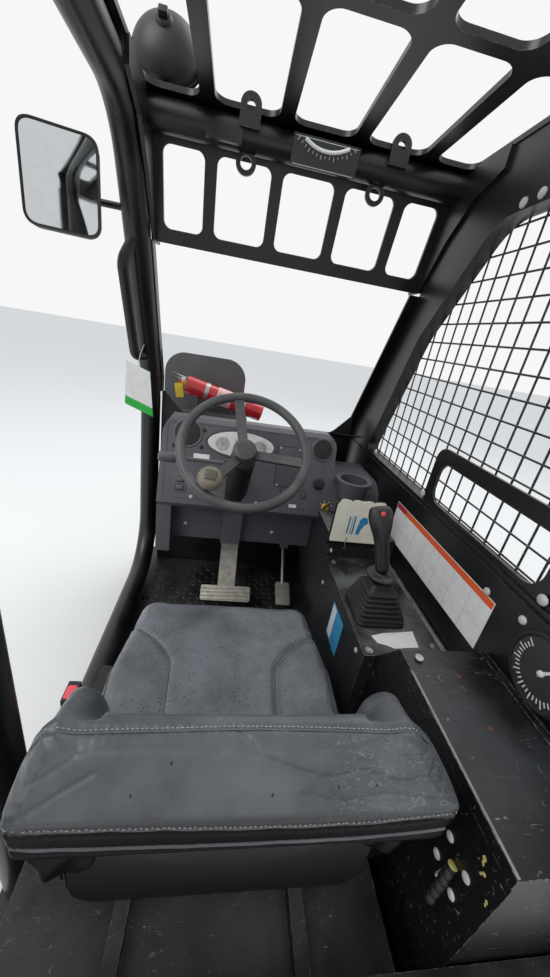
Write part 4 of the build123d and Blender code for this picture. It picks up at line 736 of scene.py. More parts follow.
@dataclass(frozen=True)
class SeatVinyl(Finish):
    """Grained vinyl coated fabric, stretched over foam.

    The eye sees a near black skin with a cool sheen, a 1.5 mm leather grain drawn at 2.5 mm, fine pale
    stretch lines that gather in patches, grey dust and, on the cushion, dark specks of 2 to 3 mm.
    """

    specks: float = 0.0
    cracks: float = 0.5
    dust: float = 0.25
    haze_colour: str = "#696c70"
    panel_z: float = 0.0                       # under this height the cover is painted near black and dull, as painted shade
    worn: tuple[Point, ...] = ((0.0, 0.0, 0.0),)
    worn_radius: float = 120.0
    holes: tuple[Flat, ...] = ()               # small burns, by their x and z
    hole_radius: float = 1.9

    def material(self) -> Material:
        """Build the material."""
        material, tree, shader, place = self.start()
        shader.inputs["Coat Roughness"].default_value = 0.32
        cloud = add(tree, "TexNoise", {"Vector": place, "Scale": 9.0, "Detail": 6.0, "Roughness": 0.6})
        tone = add(tree, "Mix", {SHARE: cloud, UNDER: linear(self.colour), OVER: linear("#303236")},
                   data_type="RGBA")
        upward = looking_up(tree, 0.05, 0.7, self.dust)
        patch = add(tree, "MapRange", {"Value": cloud, "From Min": 0.3, "From Max": 0.7, "To Min": 0.3})
        # painted shade: below the set height the colour turns near black and the dust and pale cracks go
        level = add(tree, "SeparateXYZ", {0: place}).outputs["Z"]
        upper = add(tree, "MapRange", {"Value": level, "From Min": (self.panel_z - 3.0) * MM,
                                       "From Max": (self.panel_z + 3.0) * MM})
        haze = add(tree, "Math", {0: upward, 1: patch}, operation="MULTIPLY")
        haze = add(tree, "Math", {0: haze, 1: upper}, operation="MULTIPLY")
        skin = add(tree, "Mix", {SHARE: upper, UNDER: linear("#0b0b0c"), OVER: tone}, data_type="RGBA")
        dusty = add(tree, "Mix", {SHARE: haze, UNDER: skin, OVER: linear(self.haze_colour)},
                    data_type="RGBA")
        # the painted shade below the set height also takes specular, coat and sheen down
        for key, panel, cover in (("Specular IOR Level", 0.08, 0.4), ("Coat Weight", 0.02, 0.2),
                                  ("Sheen Weight", 0.0, 0.06)):
            feed(shader, key, add(tree, "MapRange", {"Value": upper, "To Min": panel, "To Max": cover}))
        squeeze = add(tree, "Mapping", {"Vector": place, "Scale": (0.4, 1.0, 1.25)})
        veins = add(tree, "TexNoise",
                    {"Vector": squeeze, "Scale": 38.0, "Detail": 3.0, "Roughness": 0.6, "Distortion": 0.7})
        web = add(tree, "TexNoise", {"Vector": squeeze, "Scale": 84.0, "Detail": 2.0, "Distortion": 0.9})
        off = add(tree, "Math", {0: contour(tree, veins), 1: contour(tree, web, 0.52)}, operation="MINIMUM")
        line = add(tree, "MapRange", {"Value": off, "From Min": 0.009, "From Max": 0.0})
        near = 1.0
        for spot in self.worn:
            away = add(tree, "VectorMath", {0: place, 1: metres(spot)}, operation="DISTANCE")
            near = add(tree, "Math", {0: near, 1: away}, operation="MINIMUM")
        near = add(tree, "MapRange", {"Value": near, "From Min": 0.02, "From Max": self.worn_radius * MM,
                                      "To Min": self.cracks, "To Max": 0.02})
        pale = add(tree, "Math", {0: line, 1: near}, operation="MULTIPLY")
        pale = add(tree, "Math", {0: pale, 1: upper}, operation="MULTIPLY")
        crazed = add(tree, "Mix", {SHARE: pale, UNDER: dusty, OVER: linear("#9a9a96")}, data_type="RGBA")
        drops = add(tree, "TexVoronoi", {"Vector": place, "Scale": 130.0})
        spot = add(tree, "MapRange",
                   {"Value": drops, "From Min": 0.25, "From Max": 0.14, "To Max": self.specks})
        some = add(tree, "Math", {0: drops.outputs["Color"], 1: 0.45}, operation="GREATER_THAN")
        speck = add(tree, "Math", {0: spot, 1: some}, operation="MULTIPLY")
        flat = add(tree, "VectorMath", {0: place, 1: (1.0, 0.0, 1.0)}, operation="MULTIPLY")
        for x, z in self.holes:
            away = add(tree, "VectorMath", {0: flat, 1: metres((x, 0.0, z))}, operation="DISTANCE")
            hole = add(tree, "MapRange", {"Value": away, "From Min": self.hole_radius * MM,
                                          "From Max": 0.6 * self.hole_radius * MM})
            speck = add(tree, "Math", {0: speck, 1: hole}, operation="MAXIMUM")
        colour = add(tree, "Mix", {SHARE: speck, UNDER: crazed, OVER: linear("#0d0d0e")}, data_type="RGBA")
        feed(shader, "Base Color", colour)
        grain = add(tree, "TexVoronoi", {"Vector": place, "Scale": 400.0})
        fine = add(tree, "Bump", {"Height": grain, "Strength": 0.16, "Distance": 0.3 * MM})
        ridge = add(tree, "Bump", {"Height": pale, "Strength": 0.5, "Distance": 0.8 * MM, "Normal": fine})
        feed(shader, "Normal", ridge)
        return material


@dataclass(frozen=True)
class PlainCoat(Finish):
    """A smooth painted, moulded, plated or printed surface with a little dirt.

    The eye sees one colour that varies by a few percent, with grime gathered in soft patches.
    """

    metallic: float = 0.0
    dirt: float = 0.2
    dirt_colour: str = "#4a463f"
    coat: float = 0.0

    def material(self) -> Material:
        """Build the material."""
        material, tree, shader, place = self.start()
        shader.inputs["Metallic"].default_value = self.metallic
        shader.inputs["Coat Weight"].default_value = self.coat
        cloud = add(tree, "TexNoise", {"Vector": place, "Scale": 38.0, "Detail": 7.0, "Roughness": 0.7})
        patch = add(tree, "MapRange",
                    {"Value": cloud, "From Min": 0.45, "From Max": 0.78, "To Max": self.dirt})
        colour = add(tree, "Mix", {SHARE: patch, UNDER: linear(self.colour), OVER: linear(self.dirt_colour)},
                     data_type="RGBA")
        feed(shader, "Base Color", colour)
        rough = add(tree, "MapRange",
                    {"Value": patch, "To Min": self.roughness, "To Max": min(1.0, self.roughness + 0.4)})
        feed(shader, "Roughness", rough)
        return material


@dataclass(frozen=True)
class ClearLens(Finish):
    """Clear polycarbonate over the instruments: dust makes it slightly milky."""

    def material(self) -> Material:
        """Build the material."""
        material, tree, shader, place = self.start()
        shader.inputs["Transmission Weight"].default_value = 1.0
        shader.inputs["IOR"].default_value = 1.12
        haze = add(tree, "TexNoise", {"Vector": place, "Scale": 60.0, "Detail": 5.0})
        rough = add(tree, "MapRange", {"Value": haze, "To Min": 0.0, "To Max": 0.12})
        feed(shader, "Roughness", rough)
        return material


class Paintbox:
    """Every finish of the cab, each made into a material once."""

    def __init__(self) -> None:
        """Build all the materials."""
        enamel = SatinEnamel
        plastic = GrainedPlastic
        coat = PlainCoat
        self.finishes = (
            enamel("satin enamel frame", "#101012", 0.34, "frame_paint", dust=0.2, dust_colour="#55565a"),
            enamel("satin enamel guard", "#101012", 0.32, "frame_paint", wear=0.5, dust=0.1),
            enamel("satin enamel floor", "#141416", 0.5, "frame_paint", wear=0.6, dust=0.4, scratches=0.3,
                   dust_colour="#4b4a46"),
            enamel("satin enamel tread", "#1d1d20", 0.4, "frame_paint", wear=1.0, dust=0.5, scratches=0.8,
                   dust_colour="#66645f", edge=0.9),
            enamel("satin enamel deck", "#0f1011", 0.42, "frame_paint", wear=0.7, dust=0.3, scratches=0.7,
                   dust_colour="#55564f", rust=0.1),
            enamel("satin enamel console", "#2b2c2e", 0.4, "console_paint", wear=1.0, dust=0.8,
                   dust_colour="#7c7f80", scratches=1.0, rust=0.1),
            enamel("satin enamel side box", "#0f1012", 0.38, "worn_paint", wear=0.9, dust=0.25,
                   scratches=1.0, dust_colour="#565b60"),
            plastic("grained abs dash", "#55565a", 0.48, "dash_plastic"),
            plastic("grained abs black", "#161618", 0.46, "dark_plastic"),
            # partly the shell's own black, partly painted shade: darker than the black ABS and almost free
            # of dust
            plastic("seat shell plastic", "#0b0b0c", 0.46, "dark_plastic", dust=0.04),
            plastic("grained abs grey", "#5b5c5d", 0.55, "grey_plastic", dust=0.5),
            plastic("soft moulded rim", "#48484a", 0.5, "wheel_plastic", grain=3.0, dust=0.35),
            plastic("grip plastic", "#1d1d1f", 0.4, "wheel_plastic", grain=3.0, depth=0.15),
            plastic("knob plastic", "#77705f", 0.55, "knob_plastic", depth=0.1, dust=0.3),
            plastic("moulded rubber", "#111112", 0.5, "boot_rubber", grain=4.0, depth=0.2, dust=0.2,
                    dust_colour="#63656a", scuffs=0.1),
            plastic("mirror shell", "#18181a", 0.5, "mirror_shell"),
            SeatVinyl("seat vinyl cushion", "#191a1c", 0.4, "seat_vinyl", specks=1.0, cracks=0.0, dust=0.8,
                      haze_colour="#74787d"),
            # the back is painted near black and dull under 652 mm, as painted shade
            SeatVinyl("seat vinyl back", "#121315", 0.38, "seat_vinyl", cracks=0.42, dust=0.62,
                      panel_z=652.0, worn=((150.0, -450.0, 695.0), (70.0, -450.0, 705.0)),
                      worn_radius=85.0, holes=((-176.7, 711.0), (-217.5, 690.0), (-54.2, 688.0),
                                               (28.9, 692.4), (79.4, 692.9))),
            SeatVinyl("seat vinyl piping", "#26272a", 0.34, "seat_vinyl", cracks=0.0, dust=0.7),
            coat("polyester thread", "#9b9b96", 0.7, "seat_vinyl"),
            coat("worn steel edge", "#8b8a85", 0.42, "console_paint", metallic=0.3, dirt=0.7,
                 dirt_colour="#2a2a2b"),
            coat("faded label", "#dfb0a8", 0.5, "extinguisher_red", dirt=0.3),
            coat("yellow primer", "#b3a760", 0.6, "worn_paint", dirt=0.4),
            coat("worn knob cap", "#554e47", 0.4, "knob_plastic", dirt=0.3),
            coat("zinc plate", "#b4b2ac", 0.38, "pedal_aluminium", metallic=0.9, dirt=0.4),
            coat("cast aluminium", "#a8a49a", 0.45, "pedal_aluminium", metallic=0.6, dirt=0.5),
            coat("nylon cap", "#b9b8b4", 0.5, "grey_plastic", dirt=0.5),
            coat("red button", "#e0404c", 0.35, "red_plastic", dirt=0.1, coat=0.3),
            coat("extinguisher enamel", "#c01724", 0.25, "extinguisher_red", dirt=0.25, coat=0.6),
            coat("chrome plate", "#d2d2d0", 0.16, "pedal_aluminium", metallic=1.0, dirt=0.15),
            coat("brass", "#b08d4c", 0.3, "pedal_aluminium", metallic=1.0, dirt=0.3),
            coat("cream card", "#f0ecd9", 0.75, "chart_card", dirt=0.2, dirt_colour="#8d8468"),
            coat("blue print", "#2d86b8", 0.6, "chart_card", dirt=0.15),
            coat("white film", "#dedddb", 0.5, "chart_card", dirt=0.25, dirt_colour="#807b70"),
            coat("orange film", "#dd5a26", 0.45, "chart_card", dirt=0.2),
            coat("red film", "#b3262b", 0.45, "chart_card", dirt=0.2),
            coat("grey rule", "#b4b4b0", 0.6, "chart_card", dirt=0.1),
            coat("rust", "#5a3420", 0.8, "worn_paint", dirt=0.3),
            coat("blue film", "#3f94c4", 0.4, "chart_card", dirt=0.2),
            coat("green film", "#1fa63c", 0.5, "chart_card", dirt=0.1),
            coat("yellow film", "#d9bb2a", 0.5, "chart_card", dirt=0.3),
            coat("tick print", "#cfcfcb", 0.6, "gauge_plate", dirt=0.2),
            coat("gauge plate", "#2b2b2c", 0.45, "gauge_plate", dirt=0.3),
            coat("dial face", "#dfe1e1", 0.5, "lens", dirt=0.2, dirt_colour="#8d9092"),
            coat("mirror glass", "#c9cdcf", 0.03, "lens", metallic=1.0, dirt=0.08),
            # soot black also paints the shadow round the access plate and the shade in the column's slot
            coat("soot black", "#0c0c0d", 0.7, "dark_plastic", dirt=0.1),
            ClearLens("clear lens", "#ffffff", 0.05, "lens"),
        )
        self.materials = {finish.name: finish.material() for finish in self.finishes}
        self.slots = {finish.name: finish.slot for finish in self.finishes}

    def dress(self, piece: Piece, name: str) -> Piece:
        """Give a piece one finish."""
        piece.data.materials.clear()
        piece.data.materials.append(self.materials[name])
        return piece


@dataclass
class Cab:
    """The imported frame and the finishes, which every sub-assembly is given."""

    frame: dict
    paints: Paintbox

    def place(self, piece: Piece, finish: str, body: str = "cab", stands_for: Iterable[str] = (),
              smooth: float = 35.0) -> Piece:
        """Finish one new piece.

        Args:
            piece: the mesh, in place.
            finish: the name of its finish.
            body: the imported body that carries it.
            stands_for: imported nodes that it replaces.
            smooth: degrees between faces up to which the shading is smooth.

        Returns:
            The piece.
        """
        only(piece)
        bpy.ops.object.shade_smooth_by_angle(angle=math.radians(smooth))
        self.paints.dress(piece, finish)
        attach(piece, body)
        for node in stands_for:
            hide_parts(node)
        LOG.info("%s on %s: %s, %d faces", piece.name, body, finish, len(piece.data.polygons))
        return piece

    def joint(self, name: str) -> tuple[Vector, Vector]:
        """The place of a joint, in millimetres, and its axis."""
        found = next(j for j in self.frame["joints"] if j["name"] == name)
        return Vector(found["pos_m"]) / MM, Vector(found["axis"])


NODE_FINISHES = {
    "satin enamel frame": ("base_frame", "left_hoop", "header_gussets", "right_frame", "right_wall",
                           "side_window_frame", "rear_frame", "header_tube", "mirror_arm", "lamp_bracket",
                           "chart_holder", "pedal_brackets", "seat_pan", "back_frame"),
    "satin enamel guard": ("roof_guard", "front_guard", "side_screen"),
    "satin enamel floor": ("floor_plate",),
    "satin enamel deck": ("seat_deck",),
    "satin enamel console": ("console",),
    "satin enamel side box": ("side_box",),
    "grained abs dash": ("dash_housing",),
    "grained abs black": ("belt_buckle", "front_cowl", "steering_column", "direction_lever",
                          "dash_controls", "latch_lever", "work_lamp"),
    "grained abs grey": ("front_panel",),
    "soft moulded rim": ("steering_wheel",),
    "grip plastic": ("joystick",),
    "knob plastic": ("spinner_knob",),
    "moulded rubber": ("boot_base", "boot_collar", "grab_handle"),
    "mirror shell": ("mirror_head",),
    "seat vinyl cushion": ("seat_cushion",),
    "seat vinyl back": ("back_cushion",),
    "cast aluminium": ("brake_pedal", "accelerator_pedal"),
    "extinguisher enamel": ("extinguisher",),
    "cream card": ("chart_book",),
    "gauge plate": ("slope_gauges",),
    "clear lens": ("instrument_cluster",),
}


def dress_nodes(cab: Cab) -> None:
    """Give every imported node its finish."""
    for finish, nodes in NODE_FINISHES.items():
        for node in nodes:
            piece = cab.frame["nodes"][node]
            for entry in piece.material_slots:
                entry.material = cab.paints.materials[finish]
            if not piece.material_slots:
                piece.data.materials.append(cab.paints.materials[finish])


def pillow(name: str, outline: list[Flat], rise: float, thick: float, rings: int = 6) -> Piece:
    """A shallow dome over an outline, such as a convex glass or a lens.

    Args:
        name: the new object's name.
        outline: its edge, in millimetres, about the origin.
        rise: height of its middle over its edge.
        thick: thickness of its edge.
        rings: how many steps the dome has.

    Returns:
        The new object.
    """
    sections = [(Matrix.Identity(4), outline)]
    for ring in range(rings):
        share = ring / rings
        height = thick + rise * (1 - (1 - share) ** 2)
        scaled = [(x * (1 - share), y * (1 - share)) for x, y in outline]
        sections.append((shift(0.0, 0.0, height), scaled))
    return lofted(name, sections)


@dataclass
class TreadPlate:
    """Raised lozenges on the floor, rolled in two directions."""

    cab: Cab
    pitch: float = 30.0
    length: float = 24.0
    width: float = 7.0
    rise: float = 1.9
    patches: tuple[tuple[Flat, Flat], ...] = (((-426.0, 66.0), (208.0, 256.0)),
                                              ((-426.0, 260.0), (284.0, 858.0)))

    def patch(self, low: Flat, high: Flat, top: float) -> Piece:
        """Lay the lozenges between two corners, at a height."""
        outline = ellipse(self.length / 2, self.width / 2, steps=10)
        pair = []
        for column in range(2):
            for row in range(2):
                seed = plate("lozenge", outline, self.rise, edge=0.6 * self.rise, steps=1)
                at = (low[0] + (column + 0.5) * self.pitch, low[1] + (row + 0.5) * self.pitch, top)
                pair.append(moved(seed, seated(at, UP, 45.0 if column == row else -45.0)))
        counts = tuple(int((end - start) / (2 * self.pitch)) for start, end in zip(low, high))
        return arrayed(joined("floor_tread", pair), counts, 2 * self.pitch)

    def build(self) -> None:
        """Lay every patch on the floor plate."""
        top = corners("console")[0].z
        tread = joined("floor_tread", [self.patch(low, high, top) for low, high in self.patches])
        self.cab.place(tread, "satin enamel tread")


@dataclass
class WireScreen:
    """Welded round wire behind the right frame's opening."""

    cab: Cab
    pitch: float = 54.0
    wire_r: float = 2.6
    margin: float = 13.0
    opening: tuple[Flat, ...] = ((-450.0, 812.0), (714.0, 812.0), (533.0, 1255.0), (300.0, 1528.0),
                                 (-450.0, 1528.0))

    def wire(self, along: str, at: float, middle: float, length: float, x: float) -> Piece:
        """One straight wire, level or upright, through a place."""
        turn = (math.pi / 2, 0.0, 0.0) if along == "y" else (0.0, 0.0, 0.0)
        place = (x, middle, at) if along == "y" else (x, at, middle)
        bpy.ops.object.select_all(action="DESELECT")
        bpy.ops.mesh.primitive_cylinder_add(vertices=8, radius=self.wire_r * MM, depth=length * MM,
                                            location=metres(place), rotation=turn)
        return freeze(name_active("wire"))

    def build(self) -> None:
        """Weld the wires and cut them to the opening's outline."""
        low, high = corners("side_screen")
        middle = (low + high) / 2
        wires = []
        for row in range(int((high.z - low.z) / self.pitch) + 1):
            at = low.z + 0.35 * self.pitch + row * self.pitch
            wires.append(self.wire("y", at, middle.y, high.y - low.y, middle.x - 0.8 * self.wire_r))
        for column in range(int((high.y - low.y) / self.pitch) + 1):
            at = low.y + 0.3 * self.pitch + column * self.pitch
            wires.append(self.wire("z", at, middle.z, high.z - low.z, middle.x + 0.8 * self.wire_r))
        screen = joined("wire_screen", wires)
        corner = [Vector((0.0, y, z)) for y, z in self.opening]
        for start, end in zip(corner, corner[1:] + corner[:1]):
            out = (end - start).cross(Vector((1.0, 0.0, 0.0))).normalized()
            with editing(screen):
                bpy.ops.mesh.select_all(action="SELECT")
                bpy.ops.mesh.bisect(plane_co=metres(start + out * self.margin), plane_no=out,
                                    use_fill=True, clear_outer=True)
        self.cab.place(screen, "satin enamel guard", stands_for=("side_screen",))


@dataclass
class MirrorFace:
    """The rolled rim and the convex glass on the mirror's head."""

    cab: Cab
    yaw: float = 14.0
    reach: float = 67.0                        # of the head's face from the swivel
    width: float = 172.0
    height: float = 212.0
    radius: float = 34.0
    rim: float = 7.0
    roll: float = 2.4                          # the radius that rounds the rim

    def build(self) -> None:
        """Fit the rim and the glass."""
        pivot, _ = self.cab.joint("mirror_swivel")
        out = Vector((math.sin(math.radians(self.yaw)), -math.cos(math.radians(self.yaw)), 0.0))
        frame = seated(pivot + out * self.reach, out)
        outline = round_corners(rectangle(self.width, self.height), self.radius, 9)
        rim = plate("mirror_rim", outline, 5.0, self.roll)
        with editing(rim):
            pick(rim, Pick.FACES, facing(UP))
            bpy.ops.mesh.inset(thickness=(self.rim - self.roll) * MM, depth=0.0)
            bpy.ops.transform.translate(value=(0.0, 0.0, -self.roll * MM))
        self.cab.place(moved(rim, frame), "mirror shell", body="mirror")
        inner = (self.width - 2 * self.rim, self.height - 2 * self.rim)
        outline = round_corners(rectangle(*inner), self.radius - self.rim, 9)
        glass = pillow("mirror_glass", outline, 2.2, 0.9)
        self.cab.place(moved(glass, frame @ shift(0.0, 0.0, 2.7)), "mirror glass", body="mirror",
                       smooth=60.0)


@dataclass
class WorkLampTrim:
    """The rim, the lens, the stepped back with its screws and the plug of the work lamp."""

    cab: Cab
    tilt: float = -28.0
    radius: float = 85.0
    rim_half: float = 17.0
    dome: float = 52.0

    def build(self) -> None:
        """Add the trim to the lamp's shell."""
        pivot, _ = self.cab.joint("work_lamp_tilt")
        turn = math.radians(self.tilt)
        back = Vector((0.0, -math.cos(turn), -math.sin(turn)))
        frame = seated(pivot, back)
        r, half = self.radius, self.rim_half
        rim = lathe("lamp_rim", ((r - 2.0, -half - 1.0), (r + 2.6, -half - 1.0), (r + 3.2, -half + 3.0),
                                 (r + 2.4, -half + 9.0), (r + 0.4, -half + 10.0)), 56)
        self.cab.place(moved(rim, frame), "grained abs black", body="lamp")
        tip = half + self.dome
        boss = lathe("lamp_boss", ((0.0, tip + 6.0), (16.0, tip + 6.0), (19.0, tip + 3.5), (21.0, tip - 3.0),
                                   (30.0, tip - 5.0), (33.0, tip - 9.5), (0.0, tip - 12.0)), 36)
        self.cab.place(moved(boss, frame), "grained abs black", body="lamp")
        lens = lathe("lamp_lens", ((0.0, -half - 9.0), (40.0, -half - 7.0), (70.0, -half - 3.0),
                                   (r - 1.0, -half + 0.5), (0.0, -half + 0.5)), 48)
        self.cab.place(moved(lens, frame), "dial face", body="lamp", smooth=60.0)
        plug = soften(box("lamp_plug", (-11.0, -9.0, tip + 4.0), (11.0, 9.0, tip + 20.0)), 2.5, 3)
        self.cab.place(moved(plug, frame), "moulded rubber", body="lamp")
        screws = [frame @ seated((0.62 * r * math.cos(a), 0.62 * r * math.sin(a), half + 0.58 * self.dome),
                                 (0.5 * math.cos(a), 0.5 * math.sin(a), 1.0))
                  for a in (math.radians(d) for d in (30.0, 150.0, 270.0))]
        self.cab.place(repeated("lamp_screws", socket(4.0, 3.5), screws), "zinc plate", body="lamp")


@dataclass
class SlopeGauges:
    """The marks on the level gauge under the roof and on the boom angle dial, with no figures."""

    cab: Cab
    header_at: Point = (28.0, 489.1, 1634.1)
    header_out: Point = (0.0, -0.94, -0.342)
    arc_r: float = 118.0                       # of the level gauge's scale and its vial
    dial_at: Flat = (-312.0, 722.0)

    def arc(self, name: str, frame: Matrix, radius: float, ticks: int, sweep: tuple[float, float],
            size: tuple[float, float]) -> Piece:
        """Lay ticks along an arc, every third one longer, between two angles in degrees."""
        marks = []
        for index in range(ticks):
            share = index / (ticks - 1)
            turn = math.radians(sweep[0] + (sweep[1] - sweep[0]) * share)
            length = size[1] * (1.6 if index % 3 == 0 else 1.0)
            mark = plate("tick", rectangle(length, size[0]), 0.3)
            place = Matrix.Rotation(turn, 4, "Z") @ shift(radius + length / 2, 0.0, 0.0)
            marks.append(moved(mark, frame @ place))
        return joined(name, marks)

    def build(self) -> None:
        """Print both plates."""
        header = seated(self.header_at, self.header_out)
        r = self.arc_r
        low = header @ shift(0.0, r, 0.0)
        self.cab.place(self.arc("header_gauge_ticks", low, r, 15, (-128.0, -52.0), (1.6, 6.0)), "tick print")
        vial = [(r * math.sin(a), 112.0 - r * math.cos(a) + 14.0, 2.6)
                for a in (math.radians(-30.0 + 60.0 * i / 8) for i in range(9))]
        tube = pipe("header_gauge_vial", vial, 4.2, sides=3)
        self.cab.place(moved(tube, header), "dial face")
        bars = [moved(plate("line", rectangle(166.0, 1.4), 0.3), header @ shift(0.0, y, 0.0))
                for y in (26.0, -28.0)]
        self.cab.place(joined("header_gauge_lines", bars), "tick print")
        dial_x = corners("right_wall")[0].x - 6.0
        dial = seated((dial_x, *self.dial_at), LEFT, 180.0)
        self.cab.place(self.arc("side_dial_ticks", dial, 45.0, 22, (140.0, 325.0), (2.4, 9.0)), "tick print")
        ring = lathe("side_dial_ring", ((63.0, 0.0), (63.0, 1.6), (65.5, 2.4), (68.0, 1.6), (68.0, 0.0)), 56)
        self.cab.place(moved(ring, dial), "grained abs black")
        needle = plate("side_dial_needle", [(-4.0, -8.0), (4.0, -8.0), (1.0, 44.0), (-1.0, 44.0)], 1.2, 0.4)
        pin = domed(6.0, 4.0)
        turned = dial @ spin(-38.0)
        self.cab.place(moved(joined("side_dial_needle", [needle, pin]), turned), "tick print")


@dataclass
class RightWall:
    """The blank placard on the right wall, and the caps on the wall and its frame."""

    cab: Cab
    placard_y: Flat = (-168.0, 320.0)
    placard_z: Flat = (622.0, 750.0)
    band: float = 19.0
    first_field: float = 64.0
    wall_caps: tuple[Flat, ...] = ((-234.0, 770.0), (-136.0, 756.0))
    frame_caps: tuple[Flat, ...] = ((223.0, 1542.0), (171.0, 1545.0), (610.0, 828.0), (217.0, 829.0),
                                    (-243.0, 827.0))
    frame_x: float = 445.0                     # the inner face of the right frame

    def sheet(self, name: str, y: Flat, z: Flat, lift: float) -> Piece:
        """One flat field of the placard, between two places along the wall and two heights."""
        x = corners("right_wall")[0].x
        frame = seated((x - lift, sum(y) / 2, sum(z) / 2), LEFT, 180.0)
        width, height = y[1] - y[0], z[1] - z[0]
        return moved(plate(name, rectangle(width, height, min(2.0, 0.4 * width, 0.4 * height)), 0.35), frame)

    def build(self) -> None:
        """Fix everything to the wall."""
        z0, z1 = self.placard_z
        y0, y1 = self.placard_y
        self.cab.place(self.sheet("placard", (y0, y1), (z0, z1), 0.0), "white film")
        split = y1 - self.first_field
        self.cab.place(self.sheet("placard_band", (y0 + 2.0, split), (z1 - self.band, z1 - 2.0), 0.3),
                       "orange film")
        self.cab.place(self.sheet("placard_first_field", (split, y1 - 2.0), (z1 - self.band, z1 - 2.0), 0.3),
                       "red film")
        rules = []
        for index in range(1, 7):
            y = y0 + (y1 - y0) * index / 7
            rules.append(self.sheet("rule", (y - 0.6, y + 0.6), (z0 + 4.0, z1 - self.band - 3.0), 0.3))
        rules.append(self.sheet("rule", (y0 + 4.0, y1 - 4.0), (z0 + 51.0, z0 + 52.0), 0.3))
        self.cab.place(joined("placard_rules", rules), "grey rule")
        wall_x = corners("right_wall")[0].x
        places = [seated((wall_x, *at), LEFT) for at in self.wall_caps]
        self.cab.place(repeated("wall_caps", domed(9.0, 5.0), places), "nylon cap")
        places = [seated((self.frame_x, *at), LEFT) for at in self.frame_caps]
        self.cab.place(repeated("frame_caps", domed(11.0, 6.0), places), "nylon cap")


